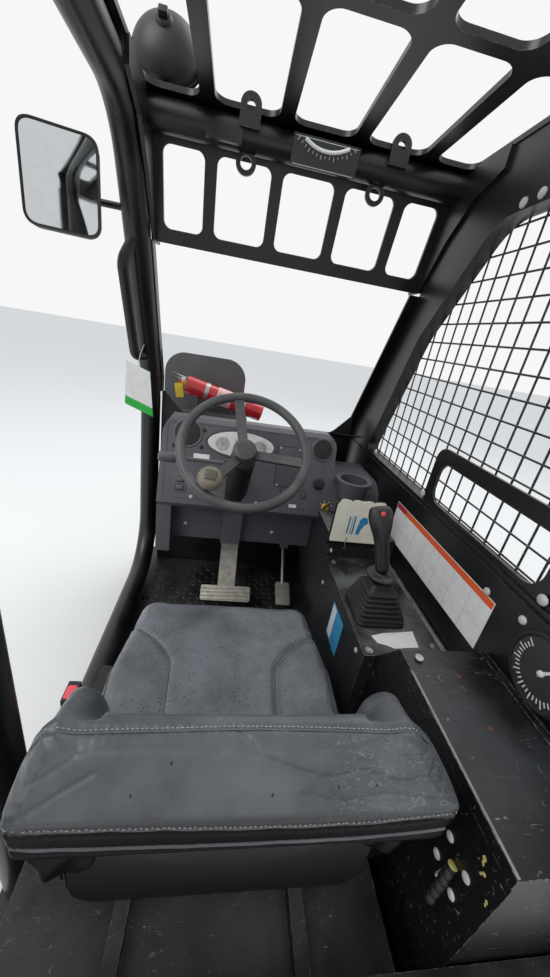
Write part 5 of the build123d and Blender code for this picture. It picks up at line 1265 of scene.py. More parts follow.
@dataclass
class Dash:
    """Instruments, switches, speakers and screws on the dash's sloping face."""

    cab: Cab
    low: Flat = (436.0, 606.0)                 # y and z of the face's lower edge
    high: Flat = (527.0, 876.0)
    cluster: Flat = (-95.0, 820.0)
    cluster_half: Flat = (122.0, 50.0)
    gauges_x: Flat = (-64.0, 66.0)             # from the middle of the cluster
    screws: tuple[Flat, ...] = ((-323.0, 793.0), (-231.0, 797.0), (-226.0, 853.0))
    white_bolts: tuple[Flat, ...] = ((-249.0, 631.0), (-20.0, 630.0), (58.0, 656.0))
    knee_bolts: tuple[Flat, ...] = ((-267.0, 492.0), (65.0, 484.0), (232.0, 499.0))
    rockers: tuple[Point, ...] = ((-291.0, 686.0, 90.0), (-291.0, 660.0, 90.0), (148.0, 676.0, 0.0),
                                  (73.0, 677.0, 0.0))   # place on the face, and turn in degrees
    rocker_field: Flat = (-291.0, 676.0)
    speaker_rounds: tuple[Point, ...] = ((-279.0, 838.0, 44.0), (201.0, 836.0, 37.0))   # place and radius
    hole_pitch: Flat = (5.0, 4.4)
    light_knob: Flat = (201.0, 717.0)
    key: Flat = (238.0, 640.0)
    access: Flat = (81.0, 764.0)
    access_size: Flat = (84.0, 142.0)
    column: Flat = (-103.0, 672.0)
    cards: tuple[tuple[Flat, Point], ...] = (((-227.0, 765.0), (54.0, 21.0, 1.5)),
                                             ((113.0, 633.0), (28.0, 12.0, 1.0)))   # place; size and corner
    knee_y: float = 500.0

    def on_face(self, x: float, z: float, lift: float = 0.0, turn: float = 0.0) -> Matrix:
        """A frame on the sloping face, facing the operator."""
        share = (z - self.low[1]) / (self.high[1] - self.low[1])
        y = self.low[0] + share * (self.high[0] - self.low[0])
        slope = Vector((0.0, self.low[1] - self.high[1], self.high[0] - self.low[0])).normalized()
        return seated(Vector((x, y, z)) + slope * lift, slope, turn)

    def instruments(self) -> None:
        """The oval cluster: its bezel, its pale face with blank gauges, and its lens."""
        half_x, half_z = self.cluster_half
        frame = self.on_face(*self.cluster)
        bezel = plate("cluster_bezel", ellipse(half_x, half_z, 64), 6.0, 2.5)
        with editing(bezel):
            pick(bezel, Pick.FACES, facing(UP))
            bpy.ops.mesh.inset(thickness=3.5 * MM, depth=0.0)
            bpy.ops.transform.translate(value=(0.0, 0.0, -4.0 * MM))
        self.cab.place(moved(bezel, frame), "grained abs grey", stands_for=("instrument_cluster",))
        face = plate("cluster_face", ellipse(half_x - 6.5, half_z - 6.5, 64), 0.4)
        self.cab.place(moved(face, frame @ shift(0.0, 0.0, 2.1)), "dial face")
        lift = frame @ shift(0.0, 0.0, 2.6)
        wells, marks = [], []
        for x in self.gauges_x:
            well = lathe("well", ((0.0, 0.3), (22.0, 0.3), (22.5, 1.3), (24.0, 1.3), (24.5, 0.0)), 40)
            wells.append(moved(well, lift @ shift(x, -4.0, 0.0)))
            for index in range(9):
                turn = math.radians(200.0 - 27.5 * index)
                tick = plate("tick", rectangle(5.0, 1.0), 0.3)
                at = shift(x, -4.0, 0.3) @ Matrix.Rotation(turn, 4, "Z")
                marks.append(moved(tick, lift @ at @ shift(17.0, 0.0, 0.0)))
            needle = plate("needle", [(-1.2, -4.0), (1.2, -4.0), (0.5, 15.0), (-0.5, 15.0)], 0.5)
            at = shift(x, -4.0, 0.7) @ spin(38.0)
            marks.append(moved(needle, lift @ at))
        self.cab.place(joined("cluster_wells", wells), "nylon cap")
        for index in range(10):
            lamp = plate("lamp", rectangle(5.0, 3.6, 0.8), 0.4)
            column, row = index % 5, index // 5
            marks.append(moved(lamp, lift @ shift(-19.0 + 9.5 * column, 14.0 - 8.0 * row, 0.0)))
        self.cab.place(joined("cluster_marks", marks), "soot black")
        meter = soften(plate("cluster_hour_meter", rectangle(44.0, 12.0, 2.0), 1.2), 0.3)
        self.cab.place(moved(meter, lift @ shift(0.0, -18.0, 0.0)), "nylon cap")
        lens = pillow("cluster_lens", ellipse(half_x - 4.0, half_z - 4.0, 64), 4.0, 0.8)
        self.cab.place(moved(lens, frame @ shift(0.0, 0.0, 4.8)), "clear lens", smooth=60.0)

    def speakers(self) -> None:
        """Two round speakers, each with a rolled rim and a perforated disc."""
        rims, grilles = [], []
        across, down = self.hole_pitch
        for x, z, radius in self.speaker_rounds:
            frame = self.on_face(x, z)
            rim = lathe("rim", ((radius - 2.0, 0.0), (radius - 1.0, 2.6), (radius + 2.0, 3.4),
                                (radius + 5.0, 2.2), (radius + 7.0, 0.0)), 56)
            rims.append(moved(rim, frame))
            grille = lathe("grille",
                           ((0.0, 2.2), (0.6 * radius, 2.0), (radius - 1.0, 0.6), (radius - 1.0, 0.0)), 56)
            grilles.append(moved(grille, frame))
            hole = lathe("hole", ((0.0, 0.35), (1.0, 0.35), (1.5, 0.0)), 8)
            spots = []
            rows = int(radius / across)
            for row in range(-rows, rows + 1):
                for column in range(-rows, rows + 1):
                    u, v = across * (column + 0.5 * (row % 2)), down * row
                    if math.hypot(u, v) < radius - 6.0:
                        rise = 2.1 - 1.4 * (math.hypot(u, v) / radius) ** 3
                        spots.append(frame @ shift(u, v, rise))
            self.cab.place(repeated(f"speaker_holes_{len(rims)}", hole, spots), "soot black")
        self.cab.place(joined("speaker_rims", rims), "grained abs dash", stands_for=("dash_controls",))
        self.cab.place(joined("speaker_grilles", grilles), "grained abs black")

    def switches(self) -> None:
        """The rockers, the light knob and the ignition switch with its key."""
        rockers, wells = [], []
        for x, z, turn in self.rockers:
            frame = self.on_face(x, z, 0.0, turn)
            wells.append(moved(plate("well", rectangle(19.0, 29.0, 3.0), 2.0, 1.0), frame))
            rocker = box("rocker", (-7.0, -12.0, 1.5), (7.0, 12.0, 5.0))
            with editing(rocker):
                pick(rocker, Pick.EDGES, lambda e: all(v.co.z > 4.0 * MM and v.co.y > 0 for v in e.verts))
                bpy.ops.transform.translate(value=(0.0, 0.0, 3.0 * MM))
            rockers.append(moved(soften(rocker, 1.0), frame))
        self.cab.place(joined("switch_wells", wells), "grained abs black")
        self.cab.place(joined("switch_rockers", rockers), "grained abs grey")
        rim = plate("switch_field", rectangle(50.0, 72.0, 6.0), 0.9, 0.5)
        self.cab.place(moved(rim, self.on_face(*self.rocker_field)), "grained abs dash")
        frame = self.on_face(*self.light_knob)
        knob = lathe("light_knob", ((0.0, 15.0), (13.0, 15.0), (14.5, 13.5), (15.0, 4.0), (20.0, 3.0),
                                    (22.0, 0.0)), 10)
        grip = soften(box("knob_grip", (-3.0, -15.0, 12.0), (3.0, 15.0, 19.0)), 1.0)
        self.cab.place(moved(joined("light_knob", [knob, grip]), frame), "grained abs black", smooth=20.0)
        x, z = self.key
        frame = self.on_face(x, z)
        ring = lathe("key_switch", ((7.0, 4.0), (11.0, 5.5), (14.5, 4.0), (17.0, 0.0)), 36)
        barrel = lathe("key_barrel", ((0.0, 5.0), (6.5, 5.0), (7.0, 4.0), (7.0, 0.0)), 24)
        self.cab.place(moved(joined("key_switch", [ring, barrel]), frame), "brass")
        key = soften(box("key", (-1.0, -5.5, 4.0), (1.0, 5.5, 24.0)), 0.8)
        self.cab.place(moved(key, frame @ spin(35.0)), "zinc plate")
        dots = [self.on_face(x + 23.0 * math.cos(a), z + 21.0 * math.sin(a))
                for a in (math.radians(d) for d in (20.0, 65.0, 110.0, 150.0))]
        self.cab.place(repeated("key_marks", plate("mark", rectangle(5.0, 3.0), 0.25), dots), "tick print")

    def plates(self) -> None:
        """The access plate with the painted shadow round it, the blank cards and the column's slot."""
        x, z = self.access
        width, height = self.access_size
        # painted shadow: a thin black sheet, 5 mm larger than the access plate, stands for the shade in the
        # gap round it
        shadow_sheet = plate("access_gap", round_corners(rectangle(width + 5.0, height + 5.0), 7.0), 0.4)
        self.cab.place(moved(shadow_sheet, self.on_face(x, z)), "soot black")
        access = plate("access_plate", round_corners(rectangle(width, height), 6.0), 2.2, 1.0)
        self.cab.place(moved(access, self.on_face(x, z, 0.1)), "grained abs dash")
        corner = [self.on_face(x + 35.0 * i, z + 63.0 * j, 2.2) for i in (-1, 1) for j in (-1, 1)]
        self.cab.place(repeated("access_screws", socket(4.2, 2.4), corner), "nylon cap")
        cards = [moved(plate("card", rectangle(*size), 0.4), self.on_face(*at)) for at, size in self.cards]
        self.cab.place(joined("dash_cards", cards), "white film")
        # painted shade: a thin black sheet stands for the dark opening round the column
        slot = plate("column_slot", round_corners(rectangle(62.0, 92.0), 8.0), 0.8)
        self.cab.place(moved(slot, self.on_face(*self.column)), "soot black")

    def fixings(self) -> None:
        """Every screw and cap on the dash and the knee panel."""
        frames = [self.on_face(x, z) for x, z in self.screws]
        self.cab.place(repeated("dash_screws", socket(7.0, 3.0), frames), "grained abs black")
        frames = [self.on_face(x, z) for x, z in self.white_bolts]
        self.cab.place(repeated("dash_caps", domed(7.0, 4.0), frames), "nylon cap")
        frames = [seated((x, self.knee_y, z), BACK) for x, z in self.knee_bolts]
        self.cab.place(repeated("knee_caps", domed(7.0, 4.0), frames), "nylon cap")

    def build(self) -> None:
        """Fit the whole dash."""
        self.instruments()
        self.speakers()
        self.switches()
        self.plates()
        self.fixings()


@dataclass
class Steering:
    """The hub cap, the spinner knob, the direction lever's arm and the column's bracket."""

    cab: Cab
    hub_r: float = 34.0
    lever_root: Point = (-131.0, 326.0, 812.0)
    lever_tip: Point = (-338.0, 298.0, 822.0)

    def build(self) -> None:
        """Trim the wheel and its knob."""
        centre, axis = self.cab.joint("steering_turn")
        frame = seated(centre, axis)
        r = self.hub_r
        cap = lathe("hub_cap",
                    ((0.0, 5.2), (10.0, 5.2), (11.0, 4.4), (12.0, 5.2), (20.0, 5.0), (21.0, 4.2),
                     (22.0, 4.9), (r - 6.0, 4.2), (r - 2.0, 2.4), (r - 0.4, -1.0), (r + 0.2, -12.0)), 48)
        self.cab.place(moved(cap, frame), "soft moulded rim", body="wheel")
        knob = seated(*self.cab.joint("spinner_turn"))
        dome = lathe("spinner_dome", ((0.0, 41.0), (14.0, 40.6), (22.0, 39.0), (28.0, 35.5), (32.0, 30.0),
                                      (33.6, 24.0), (32.6, 18.0), (28.0, 12.5), (18.0, 9.0), (15.5, 8.4),
                                      (0.0, 8.4)), 48)
        self.cab.place(moved(dome, knob), "knob plastic", body="knob", stands_for=("spinner_knob",),
                       smooth=50.0)
        pad = soften(plate("spinner_cap", round_corners(rectangle(29.0, 27.0), 3.0), 5.0), 1.4)
        at = shift(1.0, 2.0, 40.0) @ Matrix.Rotation(-0.1, 4, "Z")
        self.cab.place(moved(pad, knob @ at), "worn knob cap", body="knob")
        root, tip = Vector(self.lever_root), Vector(self.lever_tip)
        way = (tip - root).normalized()
        rod = pipe("lever_rod", [root, root.lerp(tip, 0.4), root.lerp(tip, 0.8)], 6.0)
        grip = lathe("lever_grip",
                     ((0.0, 0.0), (9.0, 0.0), (10.0, -1.0), (13.6, -3.0), (15.0, -8.0), (15.0, -44.0),
                      (13.0, -50.0), (8.0, -56.0), (6.0, -60.0), (0.0, -60.0)), 32)
        self.cab.place(joined("direction_lever_arm", [rod, moved(grip, seated(tip, way))]),
                       "grained abs grey", stands_for=("direction_lever",))
        boot = pipe("lever_boot", [root + way * -14.0, root + way * 4.0, root + way * 18.0], 13.0)
        self.cab.place(boot, "grained abs black")
        bracket = soften(box("column_bracket", (-128.0, 318.0, 776.0), (-62.0, 372.0, 806.0)), 5.0, 3)
        self.cab.place(bracket, "grained abs black")


@dataclass
class Joystick:
    """The grip with its thumb button, its flange and the folded rubber boot."""

    cab: Cab
    foot: Point = (282.0, 20.0, 676.0)
    top: Point = (252.0, 76.0, 836.0)
    console_top: float = 548.0
    folds: int = 6
    lean: float = 10.0                         # how far the boot's foot stands to the right
    squareness: float = 0.72                   # power that makes the grip's section less round
    shape: tuple[Point, ...] = ((0.0, 36.0, 36.0), (0.05, 34.0, 34.0), (0.3, 33.0, 36.0),
                                (0.46, 34.0, 38.0), (0.56, 40.0, 41.0), (0.68, 54.0, 44.0),
                                (0.8, 62.0, 44.0), (0.9, 62.0, 40.0), (0.97, 54.0, 32.0),
                                (1.0, 42.0, 20.0))   # share of its length, width and depth
    ridge: tuple[Flat, ...] = ((0.03, 15.0), (0.2, 15.5), (0.4, 16.5), (0.5, 17.5))

    def section(self, share: float, width: float, depth: float) -> tuple[Matrix, list[Flat]]:
        """One outline across the grip, at a share of its length."""
        start, end = Vector(self.foot), Vector(self.top)
        frame = seated(start.lerp(end, share), end - start)
        power = self.squareness
        outline = [(width / 2 * math.copysign(abs(math.cos(a)) ** power, math.cos(a)),
                    depth / 2 * math.copysign(abs(math.sin(a)) ** power, math.sin(a)))
                   for a in (2 * math.pi * (i + 0.5) / 24 for i in range(24))]
        return frame, outline

    def grip(self) -> None:
        """The moulded grip, from its foot to its broad flat head."""
        grip = lofted("joystick_grip", [self.section(*row) for row in self.shape])
        self.cab.place(smoothed(grip, 1), "grip plastic", body="stick", stands_for=("joystick",),
                       smooth=60.0)
        start, end = Vector(self.foot), Vector(self.top)
        along = (end - start).normalized()
        out = (Vector((0.0, -1.0, 0.0)) - along * -along.y).normalized()
        ridges = []
        for side in (-1.0, 1.0):
            line = [start.lerp(end, share) + out * depth + Vector((side * 9.0, 0.0, 0.0))
                    for share, depth in self.ridge]
            ridges.append(pipe("ridge", line, 2.6))
        self.cab.place(joined("joystick_ridges", ridges), "grip plastic", body="stick", smooth=60.0)
        button_at = start.lerp(end, 0.9) + out * 18.0
        collar = lathe("button_collar", ((7.5, 0.0), (7.8, 2.0), (9.2, 2.4), (10.5, 0.0)), 28)
        self.cab.place(moved(collar, seated(button_at, out)), "grip plastic", body="stick")
        button = lathe("joystick_button",
                       ((0.0, 4.8), (4.0, 4.4), (6.4, 3.0), (7.2, 0.5), (7.2, -1.0), (0.0, -1.0)), 28)
        self.cab.place(moved(button, seated(button_at, out)), "red button", body="stick", smooth=60.0)
        flange = lathe("joystick_flange",
                       ((0.0, 9.0), (18.0, 9.0), (20.0, 6.0), (30.0, 4.6), (36.0, 3.6), (39.0, 0.5),
                        (38.5, -3.0), (34.0, -6.0), (22.0, -8.0), (17.0, -14.0), (0.0, -14.0)), 48)
        low = start - Vector((0.0, 0.0, 8.0))
        self.cab.place(moved(flange, seated(low, UP)), "grip plastic", body="stick", smooth=50.0)

    def boot(self) -> None:
        """The bellows, square at the foot, which rise round the stick's foot; they are not carried by the
        stick.
        """
        x, y, z = self.foot[0], self.foot[1], self.console_top + 0.5
        rings = [(z, 130.0), (z + 3.0, 130.0), (z + 8.0, 128.0)]
        for fold in range(self.folds):
            share = fold / (self.folds - 1)
            outer, at = 127.0 - 43.0 * share, z + 12.0 + 12.0 * fold
            rings += [(at, outer - 13.0), (at + 5.0, outer), (at + 8.0, outer)]
        top = rings[-1][0]
        rings += [(top + 3.0, 70.0), (top + 12.0, 56.0), (top + 22.0, 50.0)]
        made = []
        for height, width in rings:
            outline = round_corners(rectangle(width, width), 0.14 * width, 5)
            lean = self.lean * (1 - (height - z) / (top + 22.0 - z))
            made.append((seated((x + lean, y, height), UP), outline))
        boot = lofted("joystick_boot", made)
        skin = soften(boot, 1.0, 2, 30.0)
        self.cab.paints.dress(skin, "moulded rubber")
        only(skin)
        bpy.ops.object.shade_smooth_by_angle(angle=math.radians(50.0))
        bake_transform(skin)
        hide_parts("boot_base")
        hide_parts("boot_collar")

    def build(self) -> None:
        """Fit the joystick."""
        self.grip()
        self.boot()


@dataclass
class Console:
    """Lips, bolts, the sticker and the torn card on the console, and the side box's details."""

    cab: Cab
    inner: float = 215.0
    top: float = 548.0
    box_top: float = 650.0
    box_inner: float = 242.0
    inner_caps: tuple[Flat, ...] = ((-90.0, 520.0), (228.0, 596.0), (228.0, 470.0))
    top_bolts: tuple[Flat, ...] = ((232.0, -114.0), (408.0, -96.0), (236.0, 236.0))
    torn_card: tuple[Flat, ...] = ((254.0, -70.0), (262.0, -92.0), (284.0, -99.0), (300.0, -108.0),
                                   (336.0, -104.0), (366.0, -102.0), (374.0, -50.0), (330.0, -56.0),
                                   (290.0, -60.0))
    box_bolt: Flat = (271.0, -223.0)
    box_holes: tuple[Flat, ...] = ((333.0, -262.0), (330.0, -360.0))
    box_caps: tuple[Flat, ...] = ((-453.0, 544.0), (-451.0, 487.0), (-496.0, 540.0), (-494.0, 483.0))
    chip: tuple[Flat, ...] = ((-4, -9), (1, -12), (5, -5), (2, 0), (4, 6), (0, 12), (-3, 8), (-1, 1),
                              (-5, -3))
    latch_root: Point = (238.0, -478.0, 526.0)
    latch_foot: Point = (216.0, -490.0, 455.0)
    latch_ribs: int = 5
    chips: tuple[tuple[float, ...], ...] = ((-500.0, 598.0, 15.0, 0.7), (-507.0, 582.0, -25.0, 0.6),
                                            (-527.0, 560.0, 10.0, 0.5))   # place, turn and size

    def console(self) -> None:
        """Dress the console."""
        ridge = box("console_ridge", (423.0, -126.0, self.top - 0.5), (434.0, 250.0, self.top + 3.0))
        self.cab.place(soften(ridge, 1.3), "worn steel edge")
        lip = box("console_lip", (self.inner - 1.6, -129.0, self.top - 14.0),
                  (self.inner, 262.0, self.top + 2.5))
        seam = box("console_seam", (self.inner, 258.0, self.top), (438.0, 261.5, self.top + 3.0))
        self.cab.place(joined("console_lips", [soften(lip, 0.7), soften(seam, 1.0)]), "satin enamel console")
        caps = [seated((self.inner, *at), LEFT) for at in self.inner_caps]
        self.cab.place(repeated("console_caps", domed(7.0, 4.0), caps), "nylon cap")
        sticker = plate("console_sticker", rectangle(96.0, 118.0, 4.0), 0.4)
        self.cab.place(moved(sticker, seated((self.inner - 1.7, 52.0, 446.0), LEFT, 180.0)),
                       "blue film")
        stripe = plate("console_sticker_stripe", rectangle(30.0, 104.0, 2.0), 0.3)
        self.cab.place(moved(stripe, seated((self.inner - 2.1, 80.0, 446.0), LEFT, 180.0)),
                       "white film")
        torn = plate("torn_card", self.torn_card, 0.5)
        self.cab.place(moved(torn, shift(0.0, 0.0, self.top + 0.2)), "white film")
        bolts = [seated((*at, self.top), UP) for at in self.top_bolts]
        self.cab.place(repeated("console_bolts", hexagon(7.0, 5.0), bolts), "zinc plate")

    def side_box(self) -> None:
        """Dress the side box: its ridges, its bolt and holes, and the caps and chips by the latch."""
        rail = []
        for x in (418.0, 432.0):
            ridge = box("ridge", (x - 2.0, -536.0, self.box_top - 1.0),
                        (x + 2.0, -204.0, self.box_top + 4.0))
            rail.append(soften(ridge, 1.6))
        self.cab.place(joined("side_box_ridges", rail), "satin enamel side box")
        trim = box("side_box_trim", (self.box_inner - 2.6, -536.0, self.box_top - 9.0),
                   (self.box_inner + 2.0, -251.0, self.box_top + 0.8))
        self.cab.place(soften(trim, 1.6, 3), "worn steel edge")
        bolt = [seated((*self.box_bolt, self.box_top), UP)]
        self.cab.place(repeated("side_box_bolts", socket(8.0, 3.5), bolt), "nylon cap")
        holes = [seated((*at, self.box_top), UP) for at in self.box_holes]
        self.cab.place(repeated("side_box_holes", disc("hole", 5.0, 0.3, 20), holes), "rust")
        heads = [seated((self.box_inner, *at), LEFT) for at in self.box_caps]
        self.cab.place(repeated("side_box_caps", domed(7.5, 3.5), heads), "nylon cap")
        chips = []
        for y, z, turn, size in self.chips:
            outline = [(size * u, size * v) for u, v in self.chip]
            chips.append(moved(plate("chip", outline, 0.25),
                               seated((self.box_inner, y, z), LEFT, turn)))
        self.cab.place(joined("primer_chips", chips), "yellow primer")

    def latch(self) -> None:
        """The latch's round lever, with ribs along its grip and a pale yellow end."""
        root, foot = Vector(self.latch_root), Vector(self.latch_foot)
        way = (root - foot).normalized()
        length = (root - foot).length
        profile = [(0.0, 0.0), (5.6, 0.6)]
        for index in range(self.latch_ribs):
            start = 3.0 + index * (length - 10.0) / self.latch_ribs
            end = start + (length - 10.0) / self.latch_ribs
            profile += [(7.4, start), (7.9, start + 2.0), (7.9, end - 3.0), (7.4, end - 1.5),
                        (6.4, end - 0.8)]
        profile += [(7.4, length - 6.0), (7.4, length - 0.6)]
        rod = lathe("latch_rod", profile, 28)
        frame = seated(foot, way)
        self.cab.place(moved(rod, frame), "grained abs black", stands_for=("latch_lever",))
        tip = lathe("latch_tip",
                    ((7.4, length - 0.8), (7.2, length), (6.0, length + 0.8), (0.0, length + 0.8)), 28)
        self.cab.place(moved(tip, frame), "yellow primer")
        bend = [(242.0, -474.0, 500.0), (234.0, -476.0, 500.0), (226.0, -477.0, 490.0)]
        stub = pipe("latch_stub", bend, 5.0)
        self.cab.place(stub, "zinc plate")

    def build(self) -> None:
        """Dress the right hand side."""
        self.console()
        self.side_box()
        self.latch()


@dataclass
class ChartBook:
    """Cards with shallow tabs on wire clips, the front one with plain blue bars."""

    cab: Cab
    inset: float = 10.0
    spacing: float = 2.4
    bars: tuple[Point, ...] = ((256.0, 5.0, 60.0), (266.0, 2.5, 66.0),
                               (273.0, 5.0, 66.0))   # x, width and height
    bars_z: float = 684.0
    sweep: tuple[Flat, ...] = ((284.0, 652.0), (296.0, 652.0), (299.0, 670.0), (307.0, 686.0),
                               (318.0, 696.0), (312.0, 712.0), (300.0, 716.0), (289.0, 706.0))
    clips: Flat = (259.0, 362.0)

    def card(self, y: float, tabs: int, drop: float) -> Piece:
        """One card with a tabbed upper edge."""
        low, high = corners("chart_book")
        low.x += self.inset
        width = (high.x - low.x - 2.0) / tabs
        top = high.z - drop
        points = [(low.x, low.z), (high.x, low.z)]
        for index in reversed(range(tabs)):
            left = low.x + width * index
            points += [(left + width, top - 16.0), (left + 0.82 * width, top - 3.0),
                       (left + 0.7 * width, top), (left + 0.3 * width, top),
                       (left + 0.18 * width, top - 3.0), (left, top - 16.0)]
        points.append((low.x, top - 18.0))
        flat = plate("card", points, 1.1)
        frame = seated((0.0, y, 0.0), BACK)
        return moved(flat, frame)

    def build(self) -> None:
        """Bind the cards."""
        _, high = corners("chart_book")
        cards = [self.card(high.y - 1.0 - self.spacing * i, 4 if i % 2 else 3, 3.0 * (4 - i))
                 for i in range(4)]
        self.cab.place(joined("chart_cards", cards), "cream card", stands_for=("chart_book",))
        front = high.y - 1.0 - self.spacing * 3 - 1.2
        bars = []
        for x, width, height in self.bars:
            bar = plate("bar", rectangle(width, height, 1.0), 0.3)
            bars.append(moved(bar, seated((x, front, self.bars_z), BACK)))
        bars.append(moved(plate("bar", self.sweep, 0.3), seated((0.0, front, 0.0), BACK)))
        self.cab.place(joined("chart_bars", bars), "blue print")
        clips = []
        for x in self.clips:
            line = [(x, front - 1.0, 640.0), (x - 4.0, front - 5.0, 628.0), (x, front - 6.0, 610.0),
                    (x + 4.0, front - 3.0, 598.0), (x, front + 6.0, 596.0)]
            clips.append(pipe("clip", line, 1.6))
        self.cab.place(joined("chart_clips", clips), "zinc plate")


@dataclass
class PedalPads:
    """Raised ribs across the pedals' treads."""

    cab: Cab

    def ribs(self, body: str, at: Point, tilt: float, width: float, length: float, pitch: float) -> None:
        """Lay ribs on one tread.

        Args:
            body: the pedal's body.
            at: the middle of the tread's underside.
            tilt: degrees that the tread looks up.
            width: of the tread, across the cab.
            length: of the tread, up its slope.
            pitch: from rib to rib.
        """
        turn = math.radians(tilt)
        out = Vector((0.0, -math.cos(turn), math.sin(turn)))
        frame = seated(Vector(at) + out * 10.0, out)
        size = (width - 3.0, 0.56 * pitch)
        count = int((length - 2.0) / pitch)
        frames = []
        for index in range(count):
            up = (index - (count - 1) / 2) * pitch
            frames.append(frame @ shift(0.0, up, 0.0))
        rib = plate("rib", rectangle(*size), 3.2, 1.2)
        self.cab.place(repeated(f"{body}_ribs", rib, frames), "cast aluminium", body=body)

    def build(self) -> None:
        """Rib both treads."""
        self.ribs("brake", (-84.0, 515.0, 157.0), 45.0, 208.0, 62.0, 15.0)
        self.ribs("accelerator", (171.0, 555.0, 138.0), 62.0, 63.0, 104.0, 11.5)


@dataclass
class Extinguisher:
    """The bottle's straps, its valve with a gauge, its blank label and its tag."""

    cab: Cab
    left: Point = (-345.0, 960.0, 930.0)
    right: Point = (0.0, 960.0, 848.0)
    radius: float = 40.0
    straps: Flat = (92.0, 262.0)               # along the bottle
    label: float = 172.0

    def along(self, distance: float) -> Matrix:
        """A frame on the bottle's axis, with Z along it."""
        start, way = Vector(self.left), Vector(self.right) - Vector(self.left)
        return seated(start + way.normalized() * distance, way)

    def build(self) -> None:
        """Dress the bottle."""
        r = self.radius
        straps = []
        for distance in self.straps:
            strap = lathe("strap", ((r, -9.0), (r + 1.6, -9.0), (r + 1.6, 9.0), (r, 9.0)), 48)
            straps.append(moved(strap, self.along(distance)))
        self.cab.place(joined("extinguisher_straps", straps), "zinc plate")
        label = lathe("label", ((r, -34.0), (r + 0.5, -34.0), (r + 0.5, 34.0), (r, 34.0)), 48)
        with editing(label):
            pick(label, Pick.VERTS, lambda v: 0.6 * v.co.y - 0.8 * v.co.x < -0.05 * r * MM)
            bpy.ops.mesh.delete(type="VERT")
        self.cab.place(moved(label, self.along(self.label)), "faded label")
        cap = lathe("shoulder",
                    ((0.0, -22.0), (15.0, -22.0), (17.0, -14.0), (16.0, -2.0), (18.0, 0.0), (0.0, 0.0)), 32)
        self.cab.place(moved(cap, self.along(0.0)), "brass")
        lever = soften(box("valve_lever", (-7.0, 12.0, -58.0), (7.0, 18.0, 14.0)), 2.0)
        grip = soften(box("valve_grip", (-7.0, 25.0, -64.0), (7.0, 30.0, 2.0)), 2.0)
        body = soften(box("valve_body", (-11.0, -12.0, -30.0), (11.0, 26.0, -8.0)), 3.0)
        self.cab.place(moved(joined("extinguisher_valve", [lever, grip, body]), self.along(0.0)),
                       "chrome plate")
        gauge = moved(disc("gauge", 11.0, 6.0, 28),
                      self.along(0.0) @ seated((0.0, -12.0, -19.0), BACK))
        self.cab.place(gauge, "nylon cap")
        tag = plate("extinguisher_tag", round_corners(rectangle(34.0, 62.0), 4.0), 0.5)
        self.cab.place(moved(tag, seated((-372.0, 930.0, 905.0), (0.25, -1.0, 0.35), 12.0)), "yellow film")


@dataclass
class HangingTag:
    """A card tag with a green lower band, tied to the left post."""

    cab: Cab
    y: float = 600.0
    corners_xz: tuple[Flat, ...] = ((-509.0, 891.0), (-414.0, 855.0), (-427.0, 1008.0), (-505.0, 1035.0))
    band: float = 0.2

    def build(self) -> None:
        """Hang the tag."""
        low_left, low_right, high_right, high_left = (Vector((x, z)) for x, z in self.corners_xz)
        share = self.band
        split_left, split_right = low_left.lerp(high_left, share), low_right.lerp(high_right, share)
        frame = seated((0.0, self.y, 0.0), BACK)
        white = plate("tag", [tuple(p) for p in (split_left, split_right, high_right, high_left)], 0.5)
        self.cab.place(moved(white, frame), "white film")
        green = plate("tag_band", [tuple(p) for p in (low_left, low_right, split_right, split_left)], 0.5)
        self.cab.place(moved(green, frame), "green film")
        tie = pipe("tag_tie", [(-466.0, self.y, 1012.0), (-466.0, self.y + 8.0, 1040.0),
                               (-468.0, self.y + 60.0, 1072.0), (-470.0, self.y + 100.0, 1084.0)], 1.3)
        self.cab.place(tie, "nylon cap")


@dataclass(frozen=True)
class Seam:
    """One sewn line of a padded piece, drawn on a plane outside the piece and dropped on it from there."""

    points: tuple[Flat, ...]                   # across and forward, or across and up
    depth: float = 5.0
    width: float = 8.0
    pucker: float = 0.9
    piping: float = 0.0
    stitches: bool = True
    above: float = 0.0                         # the height of a level plane, if it is level
    behind: float = -520.0                     # where an upright plane stands

    def line(self) -> tuple[list[Point], Vector]:
        """The line on its plane, and the way in which it drops."""
        if self.above:
            return [(x, y, self.above) for x, y in self.points], Vector((0.0, 0.0, -1.0))
        return [(x, self.behind, z) for x, z in self.points], Vector((0.0, 1.0, 0.0))


CUSHION_SEAMS = (
    Seam(((-352.0, 90.0), (-349.0, 52.0), (-300.0, 12.0), (-270.0, -11.0), (-232.0, -63.0), (-225.0, -127.0),
          (-222.0, -203.0), (-224.0, -300.0)), piping=2.2, above=500.0),
    Seam(((168.0, 60.0), (153.0, 35.0), (82.0, -14.0), (36.0, -63.0), (22.0, -122.0), (18.0, -210.0),
          (20.0, -300.0)), piping=2.2, above=500.0),
    Seam(((-340.0, 118.0), (-310.0, 134.0), (-200.0, 140.0), (-80.0, 142.0), (60.0, 138.0), (130.0, 122.0)),
         depth=2.5, width=5.0, piping=2.0, above=500.0),
    Seam(((134.0, 128.0), (150.0, 90.0), (157.0, 43.0), (164.0, -78.0), (156.0, -190.0), (140.0, -280.0)),
         depth=2.0, width=5.0, pucker=0.5, piping=2.0, stitches=False, above=500.0),
    Seam(((-336.0, 112.0), (-350.0, 65.0), (-357.0, -28.0), (-354.0, -140.0), (-340.0, -270.0)), depth=2.0,
         width=5.0, pucker=0.5, piping=2.0, stitches=False, above=500.0),
)
